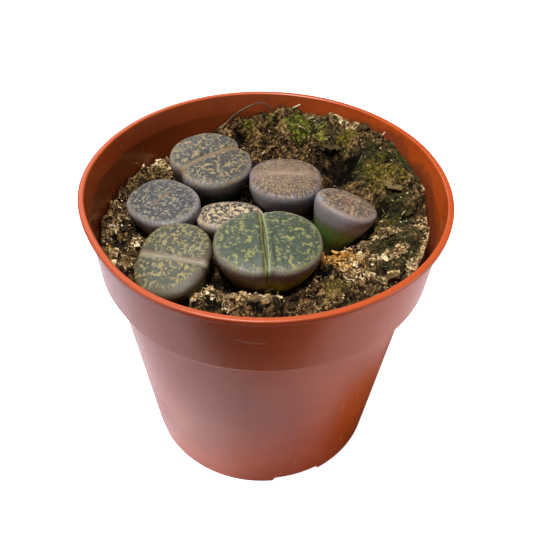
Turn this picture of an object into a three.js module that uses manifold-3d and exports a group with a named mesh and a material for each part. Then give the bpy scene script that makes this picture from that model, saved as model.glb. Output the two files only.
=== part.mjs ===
// A clump of living stones (Lithops) in a thin-walled plastic nursery pot.
//
// The pot stands on its foot rib at z = 0 with its axis on the Z axis. +Y points away from the
// viewer who faces the biggest plant, and +X to their right. Every size is in millimetres.
//
// The pieces are the pot, the peat that fills it, seven plants, each standing in a socket in the
// peat, and two dry strands that stand in it at the back.

import * as THREE from "three";
import { mergeVertices } from "three/addons/utils/BufferGeometryUtils.js";
import Module from "manifold-3d";

const wasm = await Module();
wasm.setup();

// Driving dimensions of the pot
const POT_HEIGHT = 95;
const RIM_RADIUS = 52.5;
const LIP_WIDTH = 2.3;
const LIP_HEIGHT = 1.7;
const WALL = 0.9;
const COLLAR_TOP_RADIUS = 50.8;
const COLLAR_FOOT_RADIUS = 49.0;
const COLLAR_DEPTH = 23.3;
const BODY_TOP_RADIUS = 46.0;
const BODY_FOOT_RADIUS = 37.6;
const FLOOR_HEIGHT = 2.4;
const FLOOR_FILLET = 2;
const FOOT_RIB = 1.5;
const EDGE_ROUND = 0.5;
const POT_SEGMENTS = 64;
const NOTCH_COUNT = 4;
const NOTCH_HALF_ANGLE = THREE.MathUtils.degToRad(11.5);
const NOTCH_CROWN_SHARE = 0.82;
const NOTCH_RISE = 1.5;
const NOTCH_STEPS = 6;
const NOTCH_FIRST_ANGLE = THREE.MathUtils.degToRad(-73);
const DRAIN_COUNT = 8;
const DRAIN_RADIUS = 3.6;
const DRAIN_RING_RADIUS = 27;
const DRAIN_SIDES = 16;
const CUT_MARGIN = 1;

// Driving dimensions of the peat. It stands off the pot by the clearance, and on the right, where
// it has shrunk, by more. Crumbs and grit are the sizes and half-heights of its relief.
const CLEARANCE = 0.35;
const SOCKET_CLEARANCE = 0.5;
const PEAT_DROP = 16;
const PEAT_SECTORS = 60;
const PEAT_RINGS = 15;
const PEAT_SEED = 7;
const SHRINK_MOST = 1.5;
const SHRINK_HEADING = THREE.MathUtils.degToRad(9);
const SHRINK_POWER = 1.5;
const CRUMB_SIZE = 4.2;
const CRUMB_RISE = 1.7;
const GRIT_SIZE = 2.3;
const GRIT_RISE = 1.0;

// Driving dimensions of the plants
const HEAD_SECTORS = 28;
const OUTLINE_POWER = 2.25;
const NOTCH_SPREAD = 0.2;
const FURROW_STATIONS = 9;
const FURROW_ABOVE = 1.5;

// Finishes
const POT_FINISH = { color: 0xb5603c, roughness: 0.4 };
const PEAT_FINISH = { color: 0x3a2c20, roughness: 0.95 };
const STRAND_FINISH = { color: 0x9a8766, roughness: 0.85 };
const PLANT_ROUGHNESS = 0.55;

// Vertices nearer than this are one
const SAME_POINT = 1e-4;

// Each plant's place and form. x and y place the middle of its face, drop is how far that lies
// below the pot's rim, and tilt leans the whole body towards the heading. turn is the direction
// of the fissure. along and across are the face's half-widths beside the fissure and over it,
// and notch is how far the outline draws in at the fissure's ends. Its furrows are the shallow
// dip between the two leaves and the crack in it, each from one end to the other along the
// fissure, with the half-width of its mouth, the share of that at its floor, and its depth.
const PLANTS = [
  {
    name: "living_stone_back_left",
    x: -17.1, y: 19.4, drop: 4.0, tilt: 6, heading: -60, turn: 36,
    along: 12.4, across: 13.4, notch: 0.07, color: 0x77766a,
    furrows: [
      { from: -13.2, to: 13.2, mouth: 1.9, floor: 0.3, depth: 0.9 },
      { from: -10.5, to: 11.5, mouth: 0.4, floor: 0.4, depth: 1.5 },
    ],
  },
  {
    name: "living_stone_left",
    x: -30.5, y: 0.8, drop: 7.0, tilt: 8, heading: 200, turn: 50.6,
    along: 9.7, across: 12.0, notch: 0.01, color: 0x6f6c76,
    furrows: [{ from: -4.2, to: 4.2, mouth: 0.5, floor: 0.3, depth: 0.8 }],
  },
  {
    name: "living_stone_back",
    x: 6.1, y: 10.9, drop: 4.5, tilt: 4, heading: 90, turn: 1.5,
    along: 11.0, across: 11.4, notch: 0.01, color: 0x8b8077,
    furrows: [{ from: -4.8, to: 4.8, mouth: 0.5, floor: 0.3, depth: 0.5 }],
  },
  {
    name: "living_stone_right",
    x: 24.8, y: -0.3, drop: 5.5, tilt: 22, heading: 35, turn: 60,
    along: 9.8, across: 9.5, notch: 0.01, color: 0x857a78,
    furrows: [{ from: -2.8, to: 2.8, mouth: 0.5, floor: 0.3, depth: 0.7 }],
  },
  {
    name: "living_stone_middle",
    x: -9.8, y: -2.4, drop: 9.8, tilt: 3, heading: 90, turn: -87,
    along: 6.8, across: 8.8, notch: 0.01, color: 0x5d5348,
    furrows: [{ from: -5.4, to: 1.4, mouth: 0.5, floor: 0.3, depth: 0.8 }],
  },
  {
    name: "living_stone_front_left",
    x: -24.7, y: -23.2, drop: 8.0, tilt: 17, heading: -115, turn: -14,
    along: 10.2, across: 12.2, notch: 0.04, color: 0x6d7260,
    furrows: [
      { from: -11.0, to: 11.0, mouth: 1.8, floor: 0.3, depth: 0.7 },
      { from: -7.5, to: 10.3, mouth: 0.65, floor: 0.4, depth: 2.0 },
    ],
  },
  {
    name: "living_stone_front",
    x: 1.7, y: -19.2, drop: 4.0, tilt: 7, heading: -80, turn: -80,
    along: 12.0, across: 15.2, notch: 0.06, color: 0x55684f,
    furrows: [
      { from: -12.8, to: 13.0, mouth: 1.8, floor: 0.4, depth: 0.7 },
      { from: -8.5, to: 12.6, mouth: 0.95, floor: 0.5, depth: 3.4 },
    ],
  },
];

// The plant's side view from the middle of the face to the tip of the taproot: share of the
// outline's radius, and depth in mean radii
const HEAD_PROFILE = [
  [0.0, 0.0], [0.4, 0.012], [0.7, 0.04], [0.88, 0.085], [0.965, 0.14], [1.0, 0.22],
  [0.99, 0.34], [0.93, 0.55], [0.83, 0.82], [0.7, 1.15], [0.54, 1.55], [0.36, 2.0], [0.17, 2.5],
];
const TAPROOT_DEPTH = 2.8;

// Mounds and hollows of the peat's surface, as a Gaussian each: x, y, reach and height. The peat
// has risen in a mossy mat at the back and right, and is low on the left.
const MOUNDS = [
  { x: -17, y: 45, reach: 7, rise: 4.0 },
  { x: -4, y: 46, reach: 10, rise: 6.5 },
  { x: 5, y: 46.5, reach: 7, rise: 4.5 },
  { x: 20, y: 42, reach: 16, rise: 10.0 },
  { x: 38, y: 28, reach: 14, rise: 12.0 },
  { x: 42, y: 8, reach: 10, rise: 10.5 },
  { x: 42, y: -12, reach: 11, rise: 7.0 },
  { x: 19, y: -33, reach: 9, rise: 3.0 },
  { x: -5, y: -37, reach: 5, rise: 2.6 },
  { x: -37, y: 16, reach: 5, rise: 3.0 },
  { x: -44, y: -3, reach: 5, rise: 1.5 },
  { x: 23, y: 22, reach: 5.5, rise: -6.0 },
  { x: 10, y: 30, reach: 5, rise: -2.5 },
];

// The dry strands: each stands in the peat at the ends of its centreline that start or stop there
const STRANDS = [
  {
    name: "dry_root",
    radius: 0.4,
    steps: 16,
    line: [
      [-16.8, 45.2, 82.9], [-14.7, 45.6, 85.3], [-11.0, 46.3, 89.0], [-6.6, 46.8, 91.9],
      [-3.3, 47.1, 93.2], [-1.2, 47.2, 93.0], [0.4, 47.2, 92.2], [1.5, 47.2, 90.6],
      [1.9, 47.2, 88.3],
    ],
  },
  {
    name: "straw",
    radius: 0.5,
    steps: 4,
    line: [[3.6, 45.5, 88.9], [5.4, 46.0, 90.2], [7.7, 46.8, 91.4], [10.9, 47.6, 92.9]],
  },
];
const STRAND_SIDES = 6;

// A closed mesh as a solid to join and cut
function solidOf(geometry) {
  const bare = geometry.clone();
  bare.deleteAttribute("normal");
  bare.deleteAttribute("uv");
  const merged = mergeVertices(bare, SAME_POINT);
  return new wasm.Manifold(
    new wasm.Mesh({
      numProp: 3,
      vertProperties: new Float32Array(merged.attributes.position.array),
      triVerts: new Uint32Array(merged.index.array),
    }),
  );
}

// A solid as a mesh's geometry
function geometryOf(solid) {
  const { vertProperties, triVerts } = solid.getMesh();
  const geometry = new THREE.BufferGeometry();
  geometry.setAttribute("position", new THREE.BufferAttribute(vertProperties, 3));
  geometry.setIndex(new THREE.BufferAttribute(triVerts, 1));
  geometry.computeVertexNormals();
  return geometry;
}

// A named mesh in its own material
function piece(name, geometry, { color, roughness }) {
  const material = new THREE.MeshStandardMaterial({ color, roughness, metalness: 0 });
  const mesh = new THREE.Mesh(geometry, material);
  mesh.name = name;
  return mesh;
}

// A closed skin from rings of points, each ring joined to the next, with a point at either end
function skinOfRings(top, rings, bottom) {
  const count = rings[0].length;
  const points = [top, ...rings.flat(), bottom];
  const last = points.length - 1;
  const index = [];
  const at = (ring, k) => 1 + ring * count + (k % count);
  for (let k = 0; k < count; k++) {
    index.push(0, at(0, k), at(0, k + 1));
    index.push(last, at(rings.length - 1, k + 1), at(rings.length - 1, k));
  }
  for (let ring = 0; ring + 1 < rings.length; ring++) {
    for (let k = 0; k < count; k++) {
      index.push(at(ring, k), at(ring + 1, k), at(ring + 1, k + 1));
      index.push(at(ring, k), at(ring + 1, k + 1), at(ring, k + 1));
    }
  }
  const geometry = new THREE.BufferGeometry().setFromPoints(points);
  geometry.setIndex(index);
  return geometry;
}

// A repeatable number from 0 to 1 for a cell of a grid
function cellValue(i, j, seed) {
  const mixed = Math.sin(i * 127.1 + j * 311.7 + seed * 74.7) * 43758.5453;
  return mixed - Math.floor(mixed);
}

// Smooth noise from -1 to 1 with lumps about the given size
function lumps(x, y, size, seed) {
  const i = Math.floor(x / size);
  const j = Math.floor(y / size);
  const u = THREE.MathUtils.smoothstep(x / size - i, 0, 1);
  const v = THREE.MathUtils.smoothstep(y / size - j, 0, 1);
  const low = THREE.MathUtils.lerp(cellValue(i, j, seed), cellValue(i + 1, j, seed), u);
  const high = THREE.MathUtils.lerp(cellValue(i, j + 1, seed), cellValue(i + 1, j + 1, seed), u);
  return 2 * THREE.MathUtils.lerp(low, high, v) - 1;
}

// Outer radius of the pot's body below the collar at a height
function bodyRadius(z) {
  const collarFoot = POT_HEIGHT - COLLAR_DEPTH;
  return BODY_FOOT_RADIUS + ((BODY_TOP_RADIUS - BODY_FOOT_RADIUS) * z) / collarFoot;
}

// The pot's wall between the outer and the inner line of its section, from the floor to the lip
function potShell() {
  const lipFoot = POT_HEIGHT - LIP_HEIGHT;
  const collarFoot = POT_HEIGHT - COLLAR_DEPTH;
  const ledge = collarFoot + WALL;
  const floorTop = FLOOR_HEIGHT + WALL;
  const lipInner = RIM_RADIUS - LIP_WIDTH;
  const outline = [
    [0, FLOOR_HEIGHT],
    [BODY_FOOT_RADIUS - FOOT_RIB, FLOOR_HEIGHT],
    [BODY_FOOT_RADIUS - FOOT_RIB, 0],
    [BODY_FOOT_RADIUS - EDGE_ROUND, 0],
    [bodyRadius(EDGE_ROUND), EDGE_ROUND],
    [bodyRadius(collarFoot - EDGE_ROUND), collarFoot - EDGE_ROUND],
    [BODY_TOP_RADIUS + EDGE_ROUND, collarFoot],
    [COLLAR_FOOT_RADIUS - EDGE_ROUND, collarFoot],
    [COLLAR_FOOT_RADIUS, collarFoot + EDGE_ROUND],
    [COLLAR_TOP_RADIUS, lipFoot],
    [RIM_RADIUS - EDGE_ROUND / 2, lipFoot],
    [RIM_RADIUS, lipFoot + EDGE_ROUND / 2],
    [RIM_RADIUS, POT_HEIGHT - EDGE_ROUND],
    [RIM_RADIUS - EDGE_ROUND, POT_HEIGHT - EDGE_ROUND / 8],
    [RIM_RADIUS - LIP_WIDTH / 2, POT_HEIGHT],
    [lipInner + EDGE_ROUND, POT_HEIGHT - EDGE_ROUND / 5],
    [lipInner, POT_HEIGHT - EDGE_ROUND],
    [COLLAR_TOP_RADIUS - WALL, lipFoot - EDGE_ROUND],
    [COLLAR_FOOT_RADIUS - WALL, ledge + EDGE_ROUND],
    [BODY_TOP_RADIUS - WALL + EDGE_ROUND, ledge],
    [bodyRadius(collarFoot - WALL) - WALL, collarFoot - WALL],
    [bodyRadius(floorTop + FLOOR_FILLET) - WALL, floorTop + FLOOR_FILLET],
    [bodyRadius(floorTop) - WALL - FLOOR_FILLET, floorTop],
    [0, floorTop],
  ];
  const section = outline.map(([r, z]) => new THREE.Vector2(r, z));
  return new THREE.LatheGeometry(section, POT_SEGMENTS).rotateX(Math.PI / 2);
}

// A notch through the foot rib, with sloping ends, as a wedge round the pot's axis
function footNotch(angle) {
  const inner = BODY_FOOT_RADIUS - FOOT_RIB - CUT_MARGIN;
  const outer = BODY_FOOT_RADIUS + CUT_MARGIN;
  const corner = (r, away, z) =>
    new THREE.Vector3(r * Math.cos(angle + away), r * Math.sin(angle + away), z);
  const points = [];
  for (let k = 0; k <= NOTCH_STEPS; k++) {
    const foot = NOTCH_HALF_ANGLE * ((2 * k) / NOTCH_STEPS - 1);
    const crown = foot * NOTCH_CROWN_SHARE;
    points.push(corner(inner, foot, -CUT_MARGIN), corner(outer, foot, -CUT_MARGIN));
    points.push(corner(outer, crown, NOTCH_RISE), corner(inner, crown, NOTCH_RISE));
  }
  const index = [0, 1, 2, 0, 2, 3];
  for (let k = 0; k < NOTCH_STEPS; k++) {
    const near = 4 * k;
    const far = near + 4;
    for (const [p, q] of [[0, 1], [1, 2], [2, 3], [3, 0]]) {
      index.push(near + p, far + p, far + q, near + p, far + q, near + q);
    }
  }
  const end = 4 * NOTCH_STEPS;
  index.push(end, end + 2, end + 1, end, end + 3, end + 2);
  const geometry = new THREE.BufferGeometry().setFromPoints(points);
  geometry.setIndex(index);
  return outward(solidOf(geometry), geometry);
}

// The solid itself, or the solid of the same skin turned inside out where it has no volume
function outward(solid, geometry) {
  if (solid.volume() > 0) return solid;
  const index = Array.from(geometry.index.array);
  for (let i = 0; i < index.length; i += 3) {
    [index[i + 1], index[i + 2]] = [index[i + 2], index[i + 1]];
  }
  geometry.setIndex(index);
  return solidOf(geometry);
}

// The pot: its shell with the notches in the foot rib and the drain holes in the floor
function pot() {
  const shell = potShell();
  let solid = outward(solidOf(shell), mergeVertices(shell));
  for (let k = 0; k < NOTCH_COUNT; k++) {
    const angle = NOTCH_FIRST_ANGLE + (k * 2 * Math.PI) / NOTCH_COUNT;
    solid = solid.subtract(footNotch(angle));
  }
  for (let k = 0; k < DRAIN_COUNT; k++) {
    const angle = ((k + 0.5) * 2 * Math.PI) / DRAIN_COUNT;
    const length = WALL + 2 * CUT_MARGIN;
    const drill = new THREE.CylinderGeometry(DRAIN_RADIUS, DRAIN_RADIUS, length, DRAIN_SIDES)
      .rotateX(Math.PI / 2)
      .translate(
        DRAIN_RING_RADIUS * Math.cos(angle),
        DRAIN_RING_RADIUS * Math.sin(angle),
        FLOOR_HEIGHT + WALL / 2,
      );
    solid = solid.subtract(solidOf(drill));
  }
  return piece("pot", geometryOf(solid), POT_FINISH);
}

// The face's outline radius in the direction phi, measured from the fissure
function outlineRadius(plant, phi) {
  const u = Math.abs(Math.cos(phi)) / plant.along;
  const v = Math.abs(Math.sin(phi)) / plant.across;
  const radius = (u ** OUTLINE_POWER + v ** OUTLINE_POWER) ** (-1 / OUTLINE_POWER);
  const fromFissure = Math.asin(Math.abs(Math.sin(phi)));
  return radius * (1 - plant.notch * Math.exp(-((fromFissure / NOTCH_SPREAD) ** 2)));
}

// The middle of a face's two half-widths, which the profile's depths are given in
function meanRadius(plant) {
  return (plant.along + plant.across) / 2;
}

// Depth of a plant's face below its middle, at a share of the outline's radius
function faceDepth(plant, share) {
  let [innerShare, innerDepth] = HEAD_PROFILE[0];
  for (const [outerShare, outerDepth] of HEAD_PROFILE) {
    if (share < outerShare) {
      const part = (share - innerShare) / (outerShare - innerShare);
      return THREE.MathUtils.lerp(innerDepth, outerDepth, part) * meanRadius(plant);
    }
    [innerShare, innerDepth] = [outerShare, outerDepth];
    if (outerShare === 1) break;
  }
  return innerDepth * meanRadius(plant);
}

// One plant's body in its own frame, with the fissure along X and the face's middle at the
// origin. extra widens it all round, for the socket in the peat.
function plantBody(plant, extra = 0) {
  const mean = meanRadius(plant);
  const rings = HEAD_PROFILE.slice(1).map(([share, depth]) => {
    const ring = [];
    for (let k = 0; k < HEAD_SECTORS; k++) {
      const phi = (k * 2 * Math.PI) / HEAD_SECTORS;
      const r = outlineRadius(plant, phi) * share + extra;
      ring.push(new THREE.Vector3(r * Math.cos(phi), r * Math.sin(phi), -depth * mean));
    }
    return ring;
  });
  const top = new THREE.Vector3(0, 0, extra);
  const tip = new THREE.Vector3(0, 0, -TAPROOT_DEPTH * mean - extra);
  return skinOfRings(top, rings, tip);
}

// The blade that cuts one furrow: a wedge along the fissure that follows the face's curve and
// closes at both ends
function furrowBlade(plant, furrow) {
  const middle = (furrow.from + furrow.to) / 2;
  const half = (furrow.to - furrow.from) / 2;
  const slope = (furrow.mouth * (1 - furrow.floor)) / furrow.depth;
  const section = (share) => {
    const x = middle + half * share;
    const swell = Math.sqrt(1 - share * share);
    const face = -faceDepth(plant, Math.abs(x) / outlineRadius(plant, 0));
    const mouth = furrow.mouth * swell;
    const top = mouth + slope * FURROW_ABOVE;
    const bottom = mouth * furrow.floor;
    return [
      new THREE.Vector3(x, top, face + FURROW_ABOVE),
      new THREE.Vector3(x, -top, face + FURROW_ABOVE),
      new THREE.Vector3(x, -bottom, face - furrow.depth * swell),
      new THREE.Vector3(x, bottom, face - furrow.depth * swell),
    ];
  };
  const end = (share) => {
    const corners = section(share);
    return corners[0].clone().add(corners[1]).add(corners[2]).add(corners[3]).divideScalar(4);
  };
  const rings = [];
  for (let k = 1; k < FURROW_STATIONS; k++) {
    rings.push(section((2 * k) / FURROW_STATIONS - 1));
  }
  const skin = skinOfRings(end(-1), rings, end(1));
  return outward(solidOf(skin), skin);
}

// Turns and moves a plant's own frame to its place in the pot
function plantPlace(plant) {
  const tilt = THREE.MathUtils.degToRad(plant.tilt);
  const heading = THREE.MathUtils.degToRad(plant.heading);
  const lean = new THREE.Matrix4().makeRotationAxis(
    new THREE.Vector3(-Math.sin(heading), Math.cos(heading), 0),
    tilt,
  );
  const turn = new THREE.Matrix4().makeRotationZ(THREE.MathUtils.degToRad(plant.turn));
  const move = new THREE.Matrix4().makeTranslation(plant.x, plant.y, POT_HEIGHT - plant.drop);
  return move.multiply(lean).multiply(turn);
}

// A plant with its furrows, in its place
function plant(spec) {
  const body = plantBody(spec);
  let solid = outward(solidOf(body), body);
  for (const furrow of spec.furrows) solid = solid.subtract(furrowBlade(spec, furrow));
  const finish = { color: spec.color, roughness: PLANT_ROUGHNESS };
  const mesh = piece(spec.name, geometryOf(solid), finish);
  mesh.applyMatrix4(plantPlace(spec));
  return mesh;
}

// Height of the peat's surface
function peatHeight(x, y) {
  let z = POT_HEIGHT - PEAT_DROP;
  for (const mound of MOUNDS) {
    const away = Math.hypot(x - mound.x, y - mound.y) / mound.reach;
    z += mound.rise * Math.exp(-away * away);
  }
  z += CRUMB_RISE * lumps(x, y, CRUMB_SIZE, PEAT_SEED);
  z += GRIT_RISE * lumps(x, y, GRIT_SIZE, PEAT_SEED + 1);
  return z;
}

// Inner radius of the pot's wall at a height
function wallRadius(z) {
  const collarFoot = POT_HEIGHT - COLLAR_DEPTH;
  if (z <= collarFoot + WALL) return bodyRadius(z) - WALL;
  const share = (z - collarFoot) / (COLLAR_DEPTH - LIP_HEIGHT);
  return THREE.MathUtils.lerp(COLLAR_FOOT_RADIUS, COLLAR_TOP_RADIUS, share) - WALL;
}

// How far the peat stands off the pot's wall in a direction: most at the right, where it shrank
function standOff(angle) {
  return CLEARANCE + SHRINK_MOST * Math.max(0, Math.cos(angle - SHRINK_HEADING)) ** SHRINK_POWER;
}

// Radius of the peat's upper edge in a direction: against the wall at the height it has there
function edgeRadius(angle) {
  const near = wallRadius(POT_HEIGHT - PEAT_DROP) - standOff(angle);
  const height = peatHeight(near * Math.cos(angle), near * Math.sin(angle));
  return wallRadius(height - 2 * CRUMB_RISE) - standOff(angle);
}

// One ring of the peat's skin, with the radius and the height each in its direction
function peatRing(radiusAt, heightAt) {
  const points = [];
  for (let k = 0; k < PEAT_SECTORS; k++) {
    const angle = (k * 2 * Math.PI) / PEAT_SECTORS;
    const r = radiusAt(angle);
    const x = r * Math.cos(angle);
    const y = r * Math.sin(angle);
    points.push(new THREE.Vector3(x, y, heightAt(x, y)));
  }
  return points;
}

// The peat: a plug that fills the pot, with its rough surface and a socket for each plant and
// each strand
function peat() {
  const floor = FLOOR_HEIGHT + WALL + CLEARANCE;
  const fillet = floor + FLOOR_FILLET + WALL;
  const neck = POT_HEIGHT - COLLAR_DEPTH - FLOOR_FILLET;
  const ledge = POT_HEIGHT - COLLAR_DEPTH + WALL + EDGE_ROUND + CLEARANCE;
  const rings = [];
  for (let i = 1; i <= PEAT_RINGS; i++) {
    rings.push(peatRing((angle) => (edgeRadius(angle) * i) / PEAT_RINGS, peatHeight));
  }
  rings.push(peatRing((angle) => wallRadius(ledge) - standOff(angle), () => ledge));
  rings.push(peatRing(() => wallRadius(neck) - CLEARANCE, () => ledge));
  rings.push(peatRing(() => wallRadius(neck) - CLEARANCE, () => neck));
  rings.push(peatRing(() => wallRadius(fillet) - CLEARANCE, () => fillet));
  rings.push(peatRing(() => wallRadius(floor) - FLOOR_FILLET - CLEARANCE, () => floor));
  const skin = skinOfRings(
    new THREE.Vector3(0, 0, peatHeight(0, 0)),
    rings,
    new THREE.Vector3(0, 0, floor),
  );
  let solid = outward(solidOf(skin), skin);
  for (const spec of PLANTS) {
    const socket = plantBody(spec, SOCKET_CLEARANCE).applyMatrix4(plantPlace(spec));
    solid = solid.subtract(outward(solidOf(socket), socket));
  }
  for (const spec of STRANDS) solid = solid.subtract(solidOf(strandGeometry(spec, CLEARANCE)));
  const [largest] = solid.decompose().sort((a, b) => b.volume() - a.volume());
  return piece("peat", geometryOf(largest), PEAT_FINISH);
}

// A strand of even thickness along its smooth line. extra widens and lengthens it, for the
// sockets in the peat.
function strandGeometry(spec, extra = 0) {
  const points = spec.line.map((p) => new THREE.Vector3(...p));
  const beyond = (end, next) => end.clone().sub(next).setLength(extra);
  points[0].add(beyond(points[0], points[1]));
  points.at(-1).add(beyond(points.at(-1), points.at(-2)));
  const corners = [];
  for (let k = 0; k < STRAND_SIDES; k++) {
    const angle = (k * 2 * Math.PI) / STRAND_SIDES;
    corners.push(new THREE.Vector2(Math.cos(angle), Math.sin(angle)));
  }
  const section = new THREE.Shape(corners.map((c) => c.multiplyScalar(spec.radius + extra)));
  return new THREE.ExtrudeGeometry(section, {
    steps: spec.steps,
    extrudePath: new THREE.CatmullRomCurve3(points),
  });
}

const model = new THREE.Group();
model.name = "potted_living_stones";
model.add(pot());
model.add(peat());
for (const spec of PLANTS) model.add(plant(spec));
for (const spec of STRANDS) model.add(piece(spec.name, strandGeometry(spec), STRAND_FINISH));

export default model;
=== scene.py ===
"""Looks of a clump of living stones (Lithops) that grows in mossy peat in a nursery pot.

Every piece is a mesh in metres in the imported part's own frame. The sizes in the classes are in
millimetres: the pot stands on z = 0 with its axis on the Z axis, and +Y points away from a
viewer who faces the biggest plant.
"""

import logging
import math
from collections.abc import Iterator, Sequence
from contextlib import contextmanager
from dataclasses import dataclass
from enum import Enum

import bmesh
import bpy
import numpy as np
from mathutils import Matrix, Vector


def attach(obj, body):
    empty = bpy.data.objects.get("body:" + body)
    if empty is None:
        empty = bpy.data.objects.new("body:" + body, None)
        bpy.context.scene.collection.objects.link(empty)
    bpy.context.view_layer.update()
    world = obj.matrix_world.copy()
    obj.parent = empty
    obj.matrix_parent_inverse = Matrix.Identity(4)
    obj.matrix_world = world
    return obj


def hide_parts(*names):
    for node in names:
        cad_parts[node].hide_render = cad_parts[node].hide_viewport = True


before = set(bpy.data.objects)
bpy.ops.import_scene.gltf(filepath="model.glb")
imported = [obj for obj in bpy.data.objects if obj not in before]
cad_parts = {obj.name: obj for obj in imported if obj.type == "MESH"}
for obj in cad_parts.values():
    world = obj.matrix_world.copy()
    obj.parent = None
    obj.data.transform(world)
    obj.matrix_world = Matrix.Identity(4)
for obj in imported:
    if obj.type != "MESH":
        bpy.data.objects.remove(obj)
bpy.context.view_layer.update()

Colour = tuple[float, float, float]
Tone = tuple[int, int, int]
Place = tuple[float, float, float]
Points = np.ndarray
Piece = bpy.types.Object

MM = 0.001
BODY = "root"
POT_HEIGHT = 95.0
log = logging.getLogger("living_stones")


class Marking(Enum):
    """How a leaf's window is marked."""

    HOOKS = 0.0
    BRAIN = 1.0


class Peat(Enum):
    """What covers a patch of the peat, or the painted shade laid on it."""

    MOSS = "moss"
    OLIVE = "olive"
    ALGAE = "algae"
    CRUST = "crust"
    TAN = "tan"
    # Painted shade: very dark colour laid in holes and between the plants
    PAINTED_SHADE = "painted_shade"


# Small tools for numbers and meshes


def tone(red: int, green: int, blue: int) -> Colour:
    """Turns a display colour from 0 to 255 into the linear colour that shaders take."""
    shares = (part / 255.0 for part in (red, green, blue))
    return tuple(s / 12.92 if s <= 0.04045 else ((s + 0.055) / 1.055) ** 2.4 for s in shares)


def smoothstep(low: float, high: float, value: Points) -> Points:
    """Rises smoothly from 0 at low to 1 at high."""
    part = np.clip((value - low) / (high - low), 0.0, 1.0)
    return part * part * (3.0 - 2.0 * part)


def cell_value(i: Points, j: Points, seed: float) -> Points:
    """Gives a repeatable number from 0 to 1 for a cell of a grid."""
    mixed = np.sin(i * 127.1 + j * 311.7 + seed * 74.7) * 43758.5453
    return mixed - np.floor(mixed)


def lumps(x: Points, y: Points, size: float, seed: float) -> Points:
    """Gives smooth noise from -1 to 1 whose lumps are about the given size.

    Args:
        x: First coordinate of each point.
        y: Second coordinate of each point.
        size: Size of a lump, in the coordinates' unit.
        seed: Picks one of many such patterns.

    Returns:
        The noise at each point.
    """
    i, j = np.floor(x / size), np.floor(y / size)
    u, v = smoothstep(0, 1, x / size - i), smoothstep(0, 1, y / size - j)
    low = cell_value(i, j, seed) * (1 - u) + cell_value(i + 1, j, seed) * u
    high = cell_value(i, j + 1, seed) * (1 - u) + cell_value(i + 1, j + 1, seed) * u
    return 2.0 * (low * (1 - v) + high * v) - 1.0


def clumps(x: Points, y: Points, size: float, seed: float) -> Points:
    """Gives round lumps that meet in sharp creases.

    Args:
        x: First coordinate of each point.
        y: Second coordinate of each point.
        size: Distance from one lump to the next, in the coordinates' unit.
        seed: Picks one of many such patterns.

    Returns:
        Each point's height, from 0 in a crease to 1 on top of a lump.
    """
    u, v = x / size, y / size
    i, j = np.floor(u), np.floor(v)
    nearest = np.full_like(u, 9.0)
    for di in (-1, 0, 1):
        for dj in (-1, 0, 1):
            at_u = i + di + cell_value(i + di, j + dj, seed)
            at_v = j + dj + cell_value(i + di, j + dj, seed + 0.5)
            nearest = np.minimum(nearest, (u - at_u) ** 2 + (v - at_v) ** 2)
    return np.clip(1 - nearest * 1.3, 0, 1)


def bumps(x: Points, y: Points, table: Sequence[Sequence[float]], base: float = 0.0) -> Points:
    """Sums round bumps on a base.

    Args:
        x: First coordinate of each point.
        y: Second coordinate of each point.
        table: The bumps, each as x, y, reach and rise.
        base: The height without them.

    Returns:
        The height at each point.
    """
    total = np.full_like(x, base)
    for at_x, at_y, reach, rise in table:
        total = total + rise * np.exp(-((x - at_x) ** 2 + (y - at_y) ** 2) / reach ** 2)
    return total


def curve_through(knots: Sequence[Sequence[float]], steps: int) -> Points:
    """Runs one smooth line through a row of points.

    Args:
        knots: The points, in two or three coordinates.
        steps: Stretches between one point and the next.

    Returns:
        The line's points, ends included.
    """
    p = np.asarray(knots, float)
    p = np.vstack([2 * p[0] - p[1], p, 2 * p[-1] - p[-2]])
    out = []
    for a, b, c, d in zip(p[:-3], p[1:-2], p[2:-1], p[3:]):
        for t in np.arange(steps) / steps:
            out.append(0.5 * (2 * b + (c - a) * t + (2 * a - 5 * b + 4 * c - d) * t * t
                              + (3 * b - a - 3 * c + d) * t ** 3))
    out.append(p[-2])
    return np.array(out)


def length_along(line: Points) -> Points:
    """Gives each point's distance from the line's start, measured along it."""
    return np.concatenate([[0], np.cumsum(np.linalg.norm(np.diff(line, axis=0), axis=1))])


def trail(knots: Sequence[Sequence[float]], reach: float, strength: float = 1.0) -> Points:
    """Sets spots of one reach and strength close together along a line."""
    line = curve_through(knots, 5)
    return np.column_stack([line, np.full((len(line), 2), (reach, strength))])


def spun(points: Points, *turns: tuple[float, str]) -> Points:
    """Turns points about the origin.

    Args:
        points: The points, as rows of x, y and z.
        turns: Angles in radians about named axes, of which the last is done first.

    Returns:
        The turned points.
    """
    matrix = Matrix.Identity(3)
    for angle, axis in turns:
        matrix = matrix @ Matrix.Rotation(angle, 3, axis)
    return points @ np.array(matrix).T


def newest(name: str) -> Piece:
    """Names the primitive that was just added, and its mesh."""
    obj = bpy.context.object
    obj.name = obj.data.name = name
    return obj


def pick(*objects: Piece) -> None:
    """Makes the given objects the only selected ones, and the first the active one."""
    if bpy.context.object and bpy.context.object.mode != "OBJECT":
        bpy.ops.object.mode_set(mode="OBJECT")
    bpy.ops.object.select_all(action="DESELECT")
    for obj in objects:
        obj.select_set(True)
    if objects:
        bpy.context.view_layer.objects.active = objects[0]


@contextmanager
def editing(obj: Piece) -> Iterator[None]:
    """Opens a piece in edit mode with all of it selected."""
    pick(obj)
    bpy.ops.object.mode_set(mode="EDIT")
    bpy.ops.mesh.select_all(action="SELECT")
    yield
    bpy.ops.object.mode_set(mode="OBJECT")


def apply_modifier(obj: Piece, kind: str, **settings: object) -> None:
    """Adds a modifier to a piece and applies it.

    Args:
        obj: The piece.
        kind: The modifier's type.
        settings: Its options.
    """
    pick(obj)
    modifier = obj.modifiers.new(kind.lower(), kind)
    for key, value in settings.items():
        setattr(modifier, key, value)
    bpy.ops.object.modifier_apply(modifier=modifier.name)


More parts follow.
